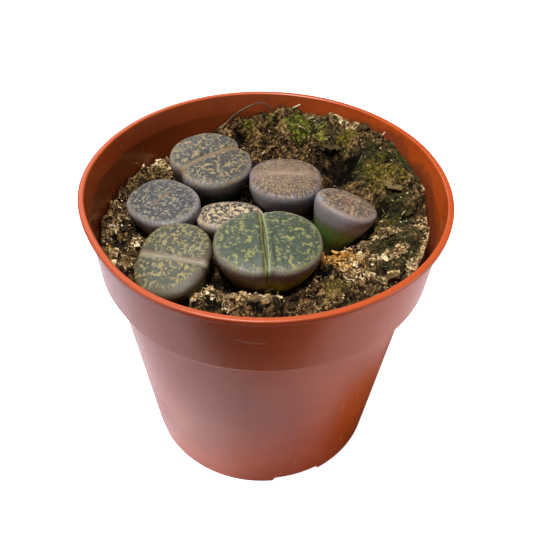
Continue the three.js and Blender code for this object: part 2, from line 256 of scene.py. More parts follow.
def link_new(name: str, data: bpy.types.ID) -> Piece:
    """Puts new data in the scene as an object."""
    obj = bpy.data.objects.new(name, data)
    bpy.context.scene.collection.objects.link(obj)
    return obj


def points_of(obj: Piece) -> Points:
    """Reads a mesh's vertices as rows of x, y and z."""
    flat = np.empty(len(obj.data.vertices) * 3, np.float32)
    obj.data.vertices.foreach_get("co", flat)
    return flat.reshape(-1, 3).astype(float)


def move_points(obj: Piece, points: Points) -> None:
    """Moves a mesh's vertices to new places, in row order."""
    obj.data.vertices.foreach_set("co", np.asarray(points, np.float32).ravel())
    obj.data.update()


def write_values(obj: Piece, name: str, values: Points) -> None:
    """Keeps one number for each vertex under a name that a material reads."""
    attribute = obj.data.attributes.new(name, "FLOAT", "POINT")
    attribute.data.foreach_set("value", np.asarray(values, np.float32).ravel())


def write_uv(obj: Piece, name: str, uv: Points) -> None:
    """Gives a mesh one UV map, in the place of those that it has.

    Args:
        obj: The piece.
        name: The map's name, which a material reads.
        uv: A row of two numbers for each vertex.
    """
    while obj.data.uv_layers:
        obj.data.uv_layers.remove(obj.data.uv_layers[0])
    corners = np.empty(len(obj.data.loops), np.int32)
    obj.data.loops.foreach_get("vertex_index", corners)
    layer = obj.data.uv_layers.new(name=name)
    layer.data.foreach_set("uv", np.asarray(uv, np.float32)[corners].ravel())


def sheet_blank(name: str, sectors: int, rows: int) -> tuple[Piece, Points, Points]:
    """Adds a sheet of rows, the blank that a closed round form is rolled up from.

    Args:
        name: Name of the piece.
        sectors: Stretches round each row.
        rows: Stretches from the first row to the last.

    Returns:
        The sheet, each vertex's row, and its angle round the form in radians.
    """
    pick()
    bpy.ops.mesh.primitive_grid_add(x_subdivisions=sectors, y_subdivisions=rows, size=1.0,
                                    calc_uvs=False)
    obj = newest(name)
    points = points_of(obj)
    column = np.rint((points[:, 0] + 0.5) * sectors)
    row = np.rint((0.5 - points[:, 1]) * rows).astype(int)
    return obj, row, column * 2 * math.pi / sectors


def close_up(obj: Piece) -> None:
    """Joins a rolled-up sheet at its seam and its two ends, and turns its faces outwards."""
    with editing(obj):
        bpy.ops.mesh.remove_doubles(threshold=2e-7)
        bpy.ops.mesh.normals_make_consistent(inside=False)
    bpy.ops.object.shade_smooth()


def dress(obj: Piece, material: bpy.types.Material, slot: str, *nodes: str) -> Piece:
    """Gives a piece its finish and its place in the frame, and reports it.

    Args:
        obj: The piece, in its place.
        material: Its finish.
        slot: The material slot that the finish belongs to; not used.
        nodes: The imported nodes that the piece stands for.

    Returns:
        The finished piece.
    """
    obj.data.materials.clear()
    obj.data.materials.append(material)
    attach(obj, BODY)
    if nodes:
        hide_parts(*nodes)
    log.info("%s: %d faces", obj.name, len(obj.data.polygons))
    return obj


# Small tools for shader nodes


class Value:
    """A shader value that plain arithmetic builds on, with a math node for each step."""

    def __init__(self, graph: "Graph", socket: bpy.types.NodeSocket) -> None:
        """Keeps a node's output with the graph that it belongs to."""
        self.graph, self.socket = graph, socket

    def __add__(self, other: object) -> "Value":
        """Adds another value or a number."""
        return self.graph.math("ADD", self, other)

    def __sub__(self, other: object) -> "Value":
        """Takes another value or a number away."""
        return self.graph.math("SUBTRACT", self, other)

    def __rsub__(self, other: object) -> "Value":
        """Takes this value away from a number."""
        return self.graph.math("SUBTRACT", other, self)

    def __mul__(self, other: object) -> "Value":
        """Multiplies by another value or a number."""
        return self.graph.math("MULTIPLY", self, other)

    def __abs__(self) -> "Value":
        """Drops the sign."""
        return self.graph.math("ABSOLUTE", self)


class Graph:
    """Adds and joins the shader nodes of one material or group."""

    def __init__(self, tree: bpy.types.NodeTree) -> None:
        """Starts on an empty tree."""
        self.tree = tree
        tree.nodes.clear()

    def node(self, kind: str, **settings: object) -> bpy.types.Node:
        """Adds a node and sets its options."""
        node = self.tree.nodes.new(kind if kind.startswith("NodeGroup") else "ShaderNode" + kind)
        for key, value in settings.items():
            setattr(node, key, value)
        return node

    def put(self, target: bpy.types.NodeSocket, value: object) -> None:
        """Joins a value to a socket, or sets the socket's number or colour."""
        if isinstance(value, Value):
            self.tree.links.new(value.socket, target)
        elif isinstance(value, tuple) and target.type == "RGBA":
            target.default_value = (*value, 1.0)
        else:
            target.default_value = value

    def add(self, kind: str, inputs: dict[int | str, object], output: int | str,
            **settings: object) -> Value:
        """Adds a node.

        Args:
            kind: Its type, without ShaderNode.
            inputs: What goes into its inputs, by their name or number.
            output: The output that is wanted.
            settings: Its options.

        Returns:
            The wanted output.
        """
        node = self.node(kind, **settings)
        for key, value in inputs.items():
            self.put(node.inputs[key], value)
        return Value(self, node.outputs[output])

    def use(self, group: bpy.types.NodeTree, inputs: dict[str, object]) -> dict[str, Value]:
        """Adds a shader group.

        Args:
            group: The group.
            inputs: What goes into its inputs, by their name.

        Returns:
            Its outputs, by their name.
        """
        node = self.node("Group", node_tree=group)
        for key, value in inputs.items():
            self.put(node.inputs[key], value)
        return {socket.name: Value(self, socket) for socket in node.outputs}

    def math(self, operation: str, first: object, second: object = 0.0) -> Value:
        """Works out one number from two."""
        return self.add("Math", {0: first, 1: second}, 0, operation=operation)

    def vector(self, operation: str, first: object, second: object = (0.0, 0.0, 0.0)) -> Value:
        """Works out one vector from two, or a number for a length or a dot product."""
        wanted = "Value" if operation in ("LENGTH", "DOT_PRODUCT") else "Vector"
        inputs = {0: first, "Scale" if operation == "SCALE" else 1: second}
        return self.add("VectorMath", inputs, wanted, operation=operation)

    def step(self, value: object, low: object, high: object) -> Value:
        """Rises smoothly from 0 at low to 1 at high, or falls where low is the larger."""
        return self.add("MapRange", {"Value": value, "From Min": low, "From Max": high},
                        "Result", interpolation_type="SMOOTHSTEP")

    def mix(self, share: object, first: object, second: object, blend: str = "MIX") -> Value:
        """Mixes two colours."""
        return self.add("Mix", {0: share, 6: first, 7: second}, 2, data_type="RGBA",
                        blend_type=blend)

    def blend(self, share: object, first: object, second: object) -> Value:
        """Mixes two numbers."""
        return self.add("Mix", {0: share, 2: first, 3: second}, 0, data_type="FLOAT")

    def dim(self, colour: Value, share: Value) -> Value:
        """Multiplies a colour by a number."""
        grey = self.add("CombineColor", dict.fromkeys(("Red", "Green", "Blue"), share), "Color")
        return self.mix(1.0, colour, grey, "MULTIPLY")

    def noise(self, place: Value, scale: object, detail: float = 2.0, rough: float = 0.5,
              output: str = "Fac") -> Value:
        """Adds cloudy noise.

        Args:
            place: Where on the surface.
            scale: Lumps for each unit of length.
            detail: Layers of finer noise.
            rough: Strength of the finer layers.
            output: Fac for one number, Color for three.

        Returns:
            The noise, about 0.5 in the mean.
        """
        inputs = {"Vector": place, "Scale": scale, "Detail": detail, "Roughness": rough}
        return self.add("TexNoise", inputs, output, noise_dimensions="3D")

    def cells(self, place: Value, scale: float, output: str) -> Value:
        """Adds a pattern of irregular cells.

        Args:
            place: Where on the surface.
            scale: Cells for each unit of length.
            output: Distance from each cell's middle, or Color for its own random one.

        Returns:
            The measure or the colour.
        """
        return self.add("TexVoronoi", {"Vector": place, "Scale": scale}, output,
                        voronoi_dimensions="3D", feature="F1")

    def ramp(self, value: Value, stops: Sequence[tuple[float, Colour]]) -> Value:
        """Turns a number into a colour by a row of stops."""
        node = self.node("ValToRGB")
        elements = node.color_ramp.elements
        while len(elements) < len(stops):
            elements.new(1.0)
        for element, (place, colour) in zip(elements, stops):
            element.position = place
            element.color = (*colour, 1.0)
        self.put(node.inputs["Fac"], value)
        return Value(self, node.outputs["Color"])

    def value_of(self, name: str) -> Value:
        """Reads one of the piece's own named numbers."""
        return self.add("Attribute", {}, "Fac", attribute_name=name)

    def place(self) -> Value:
        """Gives the point's place in the part's frame, in metres."""
        return self.add("TexCoord", {}, "Object")

    def axis(self, place: Value, letter: str) -> Value:
        """Takes one coordinate of a place."""
        return self.add("SeparateXYZ", {"Vector": place}, letter)

    def stretched(self, place: Value, scale: Place, turn: Place = (0.0, 0.0, 0.0)) -> Value:
        """Stretches a place along the axes after a turn."""
        return self.add("Mapping", {"Vector": place, "Rotation": turn, "Scale": scale}, "Vector")

    def surface(self, colour: Value, roughness: object, height: Value, depth: float,
                **settings: object) -> None:
        """Ends a material in one shader with a bump.

        Args:
            colour: The varying colour.
            roughness: The varying roughness, or one number.
            height: The bump's height, from 0 to 1.
            depth: How far the bump stands out, in millimetres.
            settings: Other sockets of the shader, by name.
        """
        bump = self.add("Bump", {"Distance": depth * MM, "Height": height}, "Normal")
        inputs = {"Base Color": colour, "Roughness": roughness, "Normal": bump}
        inputs |= {key.replace("_", " "): value for key, value in settings.items()}
        shader = self.add("BsdfPrincipled", inputs, "BSDF")
        self.put(self.node("OutputMaterial").inputs["Surface"], shader)


def new_material(name: str) -> tuple[bpy.types.Material, Graph]:
    """Starts a material on an empty tree."""
    material = bpy.data.materials.new(name)
    material.use_nodes = True
    return material, Graph(material.node_tree)


def new_group(name: str, inputs: dict[str, str],
              outputs: dict[str, str]) -> tuple[Graph, dict[str, Value], bpy.types.NodeInputs]:
    """Starts a shader group.

    Args:
        name: The group's name.
        inputs: Kind of each input, by name.
        outputs: Kind of each output, by name.

    Returns:
        The group's nodes, what is given to it, and the sockets for what it puts out.
    """
    tree = bpy.data.node_groups.new(name, "ShaderNodeTree")
    for way, sockets in (("INPUT", inputs), ("OUTPUT", outputs)):
        for key, kind in sockets.items():
            tree.interface.new_socket(key, in_out=way, socket_type="NodeSocket" + kind)
    g = Graph(tree)
    given = g.node("NodeGroupInput").outputs
    return g, {key: Value(g, given[key]) for key in inputs}, g.node("NodeGroupOutput").inputs


def speckle(g: Graph, place: Value, grain: float, strength: float) -> tuple[Value, Value]:
    """Adds the fine tone and grain that the pot, the peat and the dry bits share.

    Args:
        g: The material's nodes.
        place: Where on the surface.
        grain: Grains for each metre.
        strength: How far the tone swings about 1.

    Returns:
        The tone to multiply a colour by, and the grain's relief from 0 to 1.
    """
    group = bpy.data.node_groups.get("fine_speckle") or speckle_group("fine_speckle")
    made = g.use(group, {"Place": place, "Grain": grain, "Strength": strength})
    return made["Tone"], made["Relief"]


def speckle_group(name: str) -> bpy.types.NodeTree:
    """Builds the shader group of the fine tone and grain."""
    g, given, out = new_group(name, {"Place": "Vector", "Grain": "Float", "Strength": "Float"},
                              {"Tone": "Float", "Relief": "Float"})
    broad = g.noise(given["Place"], given["Grain"] * 0.12, 2.0)
    fine = g.noise(given["Place"], given["Grain"], 3.0, 0.6)
    g.put(out["Tone"], (broad * 0.6 + fine * 0.4 - 0.5) * given["Strength"] + 1.0)
    g.put(out["Relief"], fine)
    return g.tree


# The plants


@dataclass(frozen=True)
class LeafSkin:
    """Finish of one plant: its marked window, its flesh-coloured side with a painted glow on one
    side, and its fissure.

    tones are display colours in the order of COLOURS. Lengths are in millimetres, in the plant's
    own frame with the fissure along X.
    """

    name: str
    tones: tuple[Tone, ...]
    marking: Marking = Marking.HOOKS
    size: float = 1.0
    cover: float = 0.45
    seed: float = 0.0
    glow_heading: float = -90.0
    glow_share: float = 0.0
    glow_from: float = 2.0
    cleft_from: float = -4.0
    cleft_to: float = 4.0
    cleft_half: float = 0.8
    core_half: float = 0.25
    flush: float = 0.0
    window_edge: float = -1.2
    haze: float = 0.45
    roughness: float = 0.46

    RELIEF = 0.16
    GROUP = "leaf_skin"
    NUMBERS = ("size", "cover", "seed", "glow_share", "glow_from", "cleft_from", "cleft_to",
               "cleft_half", "core_half", "flush", "window_edge", "haze")
    COLOURS = ("ground", "ground_far", "marks", "marks_far", "rim", "side", "low", "foot",
               "glow", "cleft", "cleft_far", "cleft_core")

    def material(self) -> bpy.types.Material:
        """Builds the plant's material from the shared skin group."""
        material, g = new_material("skin_" + self.name)
        heading = math.radians(self.glow_heading)
        inputs = {key: getattr(self, key) for key in self.NUMBERS}
        inputs |= {key: tone(*rgb) for key, rgb in zip(self.COLOURS, self.tones)}
        inputs |= {"brain": self.marking.value,
                   "glow_side": (math.cos(heading), math.sin(heading), 0.0)}
        skin = g.use(bpy.data.node_groups.get(self.GROUP) or self.group(), inputs)
        g.surface(skin["Color"], skin["Roughness"] * self.roughness, skin["Height"],
                  self.RELIEF, Subsurface_Weight=0.12, Subsurface_Scale=1.2 * MM,
                  Subsurface_Radius=(1.0, 0.8, 0.5), IOR=1.42)
        return material

    @classmethod
    def group(cls) -> bpy.types.NodeTree:
        """Builds the skin's shader group."""
        kinds = dict.fromkeys((*cls.NUMBERS, "brain"), "Float")
        kinds |= dict.fromkeys(cls.COLOURS, "Color") | {"glow_side": "Vector"}
        g, given, out = new_group(cls.GROUP, kinds,
                                  {"Color": "Color", "Roughness": "Float", "Height": "Float"})
        place = g.add("UVMap", {}, "UV", uv_map="skin")
        past, along, side = map(g.value_of, ("past", "cleft_along", "cleft_away"))
        shifted = g.vector("ADD", place, g.vector("SCALE", (7.3, 3.1, 5.7), given["seed"]))
        local = g.vector("SCALE", shifted, g.math("DIVIDE", 1.0, given["size"]))
        spokes = cls.spokes(g, place, given["seed"], 12.0)
        marks = cls.draw_marks(g, local, spokes, past, given)
        # The window's edge runs out in short dashes
        window = g.step(past + (spokes - 0.5) * 9.0 - given["window_edge"], 0.4, -0.4)

        ground = g.mix(g.step(g.noise(shifted, 0.3), 0.38, 0.62), given["ground"],
                       given["ground_far"])
        ground = g.mix(g.step(g.noise(shifted, 1.1), 0.5, 0.75) * 0.25, ground, given["rim"])
        pale = g.mix(g.step(g.noise(shifted, 0.34), 0.35, 0.65), given["marks"],
                     given["marks_far"])
        face = g.mix(marks * 0.9, ground, pale)
        face = g.mix(g.step(past, -3.2, 0.2) * given["haze"], face, given["rim"])
        face = g.mix(g.step(abs(side), 3.6, 0.4) * given["flush"], face, given["cleft"])
        colour = g.mix(window, cls.colour_side(g, place, past, given), face)
        colour = cls.lay_fissure(g, colour, along, side, shifted, given)
        g.put(out["Color"], g.dim(colour, g.noise(shifted, 4.5, 3.0, 0.6) * 0.14 + 0.929))
        pores = g.noise(shifted, 3.2, 3.0, 0.55) * 0.5
        g.put(out["Height"], marks * window * 0.4 + pores)
        g.put(out["Roughness"], g.noise(shifted, 0.8) * 0.3 + 0.85)
        return g.tree

    @staticmethod
    def spokes(g: Graph, place: Value, seed: Value, ring: float) -> Value:
        """Gives noise in strokes that run from the middle of the face outwards and down.

        Args:
            g: The group's nodes.
            place: Place on the skin.
            seed: The plant's own seed.
            ring: How finely the strokes divide the way round the face.

        Returns:
            The noise.
        """
        direction = g.vector("SCALE", g.vector("NORMALIZE", place), ring)
        lift = g.add("CombineXYZ", {"Z": g.vector("LENGTH", place) * 0.36 + seed}, "Vector")
        return g.noise(g.vector("ADD", direction, lift), 1.5, 1.5)

    @staticmethod
    def draw_marks(g: Graph, local: Value, spokes: Value, past: Value,
                   given: dict[str, Value]) -> Value:
        """Draws the pale marks on the window: hooks, rings and clumps, or a fine mesh.

        Args:
            g: The group's nodes.
            local: Place on the skin in marks' sizes.
            spokes: Noise in strokes from the middle outwards.
            past: How far past the shoulder, in millimetres.
            given: The group's inputs.

        Returns:
            The mask of the marks.
        """
        sway = g.vector("SUBTRACT", g.noise(local, 0.8, 1.0, 0.5, "Color"), (0.5, 0.5, 0.5))
        bent = g.vector("ADD", local, g.vector("SCALE", sway, 1.5))
        level = abs(g.noise(bent, 0.66, 1.3) - 0.5)
        width = given["cover"] * 0.1 + 0.05
        gate = 0.65 - given["cover"] * 0.3
        apart = g.noise(g.vector("ADD", local, (0.0, 47.0, 0.0)), 0.74, 1.5)
        loops = g.step(level, width, width * 0.35) * g.step(apart, gate, gate + 0.07)
        centre = g.cells(bent, 0.7, "Distance") + (g.noise(local, 1.7, 1.5) - 0.5) * 1.1
        open_ground = g.noise(g.vector("ADD", local, (31.0, 0.0, 0.0)), 0.5)
        flecks = g.step(centre, 0.3, 0.17) * g.step(open_ground, 0.46, 0.52)
        hooks = g.math("MAXIMUM", loops, flecks)

        near = g.step(past, -4.8, -1.2)
        folds = abs(g.blend(near, g.noise(bent, 1.0, 1.2), spokes) - 0.5)
        brain = g.step(folds, 0.016, 0.085)
        strokes = g.step(spokes, 0.53, 0.45)
        rim_marks = g.blend(g.step(past, -3.0, -1.4) * 0.8, hooks, strokes)
        return g.blend(given["brain"], rim_marks, brain)

    @classmethod
    def colour_side(cls, g: Graph, place: Value, past: Value, given: dict[str, Value]) -> Value:
        """Colours the side, finely streaked, from the pale rim down to the foot in the peat, with
        a painted glow where it faces glow_side.

        Args:
            g: The group's nodes.
            place: Place on the skin.
            past: How far past the shoulder, in millimetres.
            given: The group's inputs.

        Returns:
            The side's colour.
        """
        down = past + (g.noise(place, 0.3) - 0.5) * 3.0
        colour = g.mix(g.step(down, 0.4, 3.4), given["rim"], given["side"])
        colour = g.mix(g.step(down, 2.6, 6.4), colour, given["low"])
        # Painted glow: the side's own green, made bright where it faces glow_side, as if light
        # shone through it
        facing = g.vector("DOT_PRODUCT", g.vector("NORMALIZE", place), given["glow_side"])
        lit = g.step(facing, 0.1, 0.85) * given["glow_share"]
        lit = lit * g.step(down - given["glow_from"], 0.0, 4.6)
        colour = g.mix(lit, colour, given["glow"])
        colour = g.mix(g.step(down, 6.5, 12.5), colour, given["foot"])
        streaks = g.step(cls.spokes(g, place, given["seed"], 34.0), 0.48, 0.7)
        colour = g.mix(streaks * 0.22, colour, given["low"])
        dots = g.step(g.noise(place, 1.9, 1.0), 0.64, 0.70) * g.step(past, 2.6, 0.4)
        return g.mix(dots * 0.6, colour, given["ground"])

    @staticmethod
    def lay_fissure(g: Graph, colour: Value, along: Value, side: Value, place: Value,
                    given: dict[str, Value]) -> Value:
        """Lays the fissure's two lips and its thin core line over the face.

        Args:
            g: The group's nodes.
            colour: The colour below.
            along: Place along the fissure.
            side: Distance from its middle line, negative on one side.
            place: Place on the skin.
            given: The group's inputs.

        Returns:
            The colour with the fissure on it.
        """
        ends = g.math("MAXIMUM", given["cleft_from"] - along, along - given["cleft_to"])
        beyond = g.math("MAXIMUM", ends, 0.0)
        fray = (g.noise(place, 1.1) - 0.5) * 1.3
        half, core = given["cleft_half"], given["core_half"]
        band = g.step(abs(side) + beyond * 0.9 + fray, half * 1.5, half * 0.55)
        band = band * g.math("GREATER_THAN", half, 0.01)
        lips = g.mix(g.step(side, -0.15, 0.15), given["cleft"], given["cleft_far"])
        colour = g.mix(band * 0.85, colour, lips)
        line = g.step(abs(side) + beyond * 0.5 + fray * 0.12, core * 1.2, core * 0.35)
        return g.mix(line * 0.85, colour, given["cleft_core"])


@dataclass(frozen=True)
class Furrow:
    """A dip or crack along a plant's fissure, from one end to the other."""

    start: float
    end: float
    mouth: float
    floor: float
    depth: float


@dataclass
class LivingStone:
    """One plant: a fused pair of leaves with a flat marked face, down to its taproot.

    x and y place the middle of its face and drop is how far that lies below the pot's rim. The
    body leans by tilt towards heading, and turn is the direction of the fissure. along and
    across are the face's half-widths beside the fissure and over it. notch is how far the
    outline draws in at the fissure's ends, bow how far the fissure curves sideways, and offset
    how far it lies off the middle. slip is how far the marked window draws back from the
    shoulder towards slip_heading, measured from the fissure.
    """

    node: str
    x: float
    y: float
    drop: float
    tilt: float
    heading: float
    turn: float
    along: float
    across: float
    notch: float
    furrows: tuple[Furrow, ...]
    skin: LeafSkin
    bow: float = 0.0
    offset: float = 0.0
    waver: float = 0.25
    lip: float = 0.0
    slip: float = 0.0
    slip_heading: float = 0.0
    seed: float = 1.0
    gather: float = 0.5
    sectors: int = 216
    face_rows: int = 70
    side_rows: int = 34
    root_rows: int = 8

    OUTLINE_POWER = 2.25
    NOTCH_SPREAD = 0.2
    # The side view, as shares of the face's half-width: radius and depth
    PROFILE = (
        (0.0, 0.0), (0.4, 0.01), (0.7, 0.034), (0.89, 0.075), (0.97, 0.125), (1.0, 0.21),
        (0.99, 0.34), (0.93, 0.55), (0.83, 0.82), (0.7, 1.15), (0.54, 1.55), (0.36, 2.0),
        (0.17, 2.5), (0.0, 2.8),
    )
    PROFILE_STEPS = 12
    SHOULDER = 5
    SIDE_SEEN = 15.0

    @property
    def mean(self) -> float:
        """The middle of the face's two half-widths, which the profile's depths are given in."""
        return (self.along + self.across) / 2

    def outline(self, phi: Points) -> Points:
        """Gives the face's outline radius in the direction phi, measured from the fissure."""
        u, v = np.abs(np.cos(phi)) / self.along, np.abs(np.sin(phi)) / self.across
        power = self.OUTLINE_POWER
        radius = (u ** power + v ** power) ** (-1 / power)
        from_fissure = np.arcsin(np.clip(np.abs(np.sin(phi)), 0, 1))
        return radius * (1 - self.notch * np.exp(-((from_fissure / self.NOTCH_SPREAD) ** 2)))

    def matrix(self) -> Matrix:
        """Gives the turn and move from the plant's own frame to its place in the pot."""
        heading = math.radians(self.heading)
        lean = Matrix.Rotation(math.radians(self.tilt), 4,
                               Vector((-math.sin(heading), math.cos(heading), 0)))
        turn = Matrix.Rotation(math.radians(self.turn), 4, "Z")
        return Matrix.Translation((self.x, self.y, POT_HEIGHT - self.drop)) @ lean @ turn

    def rows(self) -> tuple[Points, Points, Points]:
        """Spreads the rows over the side view, close together on the face and near the peat.

        Returns:
            Each row's share of the outline, its depth and its length of skin from the middle.
        """
        line = curve_through(self.PROFILE, self.PROFILE_STEPS) * (self.mean, self.mean)
        run = length_along(line)
        edge = run[self.SHOULDER * self.PROFILE_STEPS]
        seen = edge + self.SIDE_SEEN
        wanted = np.concatenate([
            np.linspace(0, edge, self.face_rows + 1),
            np.linspace(edge, seen, self.side_rows + 1)[1:],
            np.linspace(seen, run[-1], self.root_rows + 1)[1:],
        ])
        share = np.clip(np.interp(wanted, run, line[:, 0]) / self.mean, 0, 1)
        return share, np.interp(wanted, run, line[:, 1]), wanted - edge

    def middle_line(self, x: Points) -> Points:
        """Gives how far the fissure's middle line lies to the side at a place along it."""
        share = np.clip(x / self.along, -1, 1)
        sway = self.waver * lumps(x + 50, np.full_like(x, 3.3), 4.5, self.seed)
        return self.offset + self.bow * (1 - share * share) + sway * (1 - share ** 4)

    def furrow_depth(self, x: Points, away: Points) -> Points:
        """Gives how deep the dip and the crack cut the face.

        Args:
            x: Place along the fissure.
            away: Distance from its middle line.

        Returns:
            The depth at each point.
        """
        depth = np.zeros_like(x)
        for furrow in self.furrows:
            middle, half = (furrow.start + furrow.end) / 2, (furrow.end - furrow.start) / 2
            swell = np.sqrt(np.clip(1 - ((x - middle) / half) ** 2, 0, 1))
            share = away / np.maximum(furrow.mouth * (0.25 + 0.75 * swell), 1e-6)
            wall = 1 - smoothstep(furrow.floor, 1.15, share)
            depth = np.maximum(depth, furrow.depth * swell * wall)
        return depth

    def relief(self, x: Points, y: Points, share: Points, run: Points) -> Points:
        """Adds the low swells that keep a face from being quite even."""
        low = 0.16 * lumps(x, y, 5.0, self.seed) + 0.05 * lumps(x, y, 1.7, self.seed + 1)
        return low * (1 - smoothstep(1.0, 6.0, run)) * smoothstep(1.02, 0.9, share)

    def build(self) -> Piece:
        """Rolls the plant up from a sheet and dresses it.

        Returns:
            The finished piece.
        """
        share, depth, run = self.rows()
        obj, row, angle = sheet_blank(self.node + "_skin", self.sectors, len(share) - 1)
        share, depth, run, start = share[row], depth[row], run[row], run[0]
        phi = angle - self.gather * np.sin(2 * angle) / 2
        wide = self.outline(phi)
        radius = wide * share
        x, y = radius * np.cos(phi), radius * np.sin(phi)
        side = y - self.middle_line(x)
        away = np.abs(side)
        top = 1 - smoothstep(0.0, 4.0, run)
        cut = self.furrow_depth(x, away) * top
        rise = self.lip * np.exp(-(((away - 1.5) / 0.7) ** 2)) * top * (share < 0.97)
        z = -depth - cut + rise + self.relief(x, y, share, run)
        local = np.column_stack([x, y, z, np.ones_like(x)])
        move_points(obj, (local @ np.array(self.matrix()).T)[:, :3] * MM)

        length = (run - start) * wide / self.mean
        write_uv(obj, "skin", np.column_stack([length * np.cos(phi), length * np.sin(phi)]))
        past = run * wide / self.mean
        facing = np.maximum(np.cos(phi - math.radians(self.slip_heading)), 0)
        write_values(obj, "past", past + self.slip * facing * smoothstep(-9.0, -2.0, past))
        write_values(obj, "cleft_along", x)
        fade = np.maximum(run - 3.0, 0) * 0.6
        write_values(obj, "cleft_away", np.hypot(away, fade) * np.where(side < 0, -1.0, 1.0))
        close_up(obj)
        return dress(obj, self.skin.material(), "plant_" + self.skin.name, self.node)

    def clearance(self, points: Points) -> Points:
        """Gives roughly how far points lie outside the plant's skin, negative inside it."""
        inverse = np.array(self.matrix().inverted())
        local = np.column_stack([points, np.ones(len(points))]) @ inverse.T
        radius = np.hypot(local[:, 0], local[:, 1])
        phi = np.arctan2(local[:, 1], local[:, 0])
        profile = np.array(self.PROFILE[self.SHOULDER:])
        share = np.interp(-local[:, 2] / self.mean, profile[:, 1], profile[:, 0])
        return radius - self.outline(phi) * share


# The pot


@dataclass(frozen=True)
class PotPlastic:
    """Glossy terracotta plastic with faint flow marks, scuffs and peat stains inside, with
    painted shade inside at the back left and a painted highlight along the collar's foot.
    """

    name: str = "terracotta_plastic"
    colour: Colour = tone(198, 87, 31)
    deep: Colour = tone(179, 73, 22)
    # Dark brown of the soiling near the peat, also used for painted shade inside at the back left
    stain_and_shade: Colour = tone(70, 42, 26)
    dust: Colour = tone(196, 150, 122)
    lip: Colour = tone(184, 76, 31)
    # Pale pink of the painted highlight along the collar's foot
    pale: Colour = tone(228, 176, 160)
    roughness: float = 0.19
    relief: float = 0.035

    def material(self) -> bpy.types.Material:
        """Builds the plastic's material."""
        material, g = new_material(self.name)
        place = g.place()
        shade, peel = speckle(g, place, 800.0, 0.16)
        streak = g.noise(g.stretched(place, (420.0, 420.0, 22.0)), 1.0, 3.0, 0.6)
        broad = g.noise(place, 38.0)
        colour = g.mix(g.step(broad, 0.35, 0.68), self.colour, self.deep)
        colour = g.mix(g.step(streak, 0.52, 0.72) * 0.16, colour, self.deep)
        colour = g.dim(colour, shade)

        inside = g.value_of("inside")
        blot = g.noise(place, 240.0, 4.0, 0.65)
        reach = g.value_of("above_peat") + (blot - 0.5) * 9.0
        dirt = g.step(reach, 2.2, -0.8) * inside
        colour = g.mix(dirt * 0.5, colour, self.stain_and_shade)
        specks = g.step(g.noise(place, 900.0), 0.71, 0.76)
        scuffs = self.scuffs(g, place)
        colour = g.mix(g.math("MAXIMUM", specks * 0.4, scuffs * 0.3), colour, self.dust)
        # Painted shade: the wall's inside is darkened to a dark brown at the back left, which
        # faces away from the light
        dull = g.step(g.axis(place, "X"), 45 * MM, -12 * MM)
        dull = dull * g.step(g.axis(place, "Y"), -12 * MM, 32 * MM) * inside * 0.5
        colour = g.mix(dull, colour, self.stain_and_shade)
        lip = g.value_of("lip")
        colour = g.mix(lip * 0.75, colour, self.lip)
        # Painted highlight: a broken pale line along the collar's foot, where the edge would
        # reflect the bright floor
        painted_highlight = g.value_of("painted_highlight") * g.step(blot, 0.3, 0.55)
        colour = g.mix(painted_highlight * 0.55, colour, self.pale)

        rough = broad * 0.05 + self.roughness + g.math("MAXIMUM", dirt, scuffs) * 0.3 + lip * 0.16
        relief = peel * 0.5 + streak * 0.35 - scuffs * 0.3
        g.surface(colour, rough, relief, self.relief, IOR=1.49, Subsurface_Weight=0.08,
                  Subsurface_Scale=1.5 * MM, Subsurface_Radius=(1.0, 0.35, 0.15))
        return material

    @staticmethod
    def scuffs(g: Graph, place: Value) -> Value:
        """Masks short thin scratches that run in many directions."""
        sway = g.noise(place, 90.0, 1.0, 0.5, "Color")
        bent = g.vector("ADD", place, g.vector("SCALE", sway, 0.003))
        lines = g.stretched(bent, (60.0, 900.0, 260.0), (0.6, 0.3, 0.8))
        lines = g.step(g.noise(lines, 1.0, 2.0, 0.6), 0.68, 0.73)
        return lines * g.step(g.noise(place, 55.0, 1.0), 0.52, 0.62)


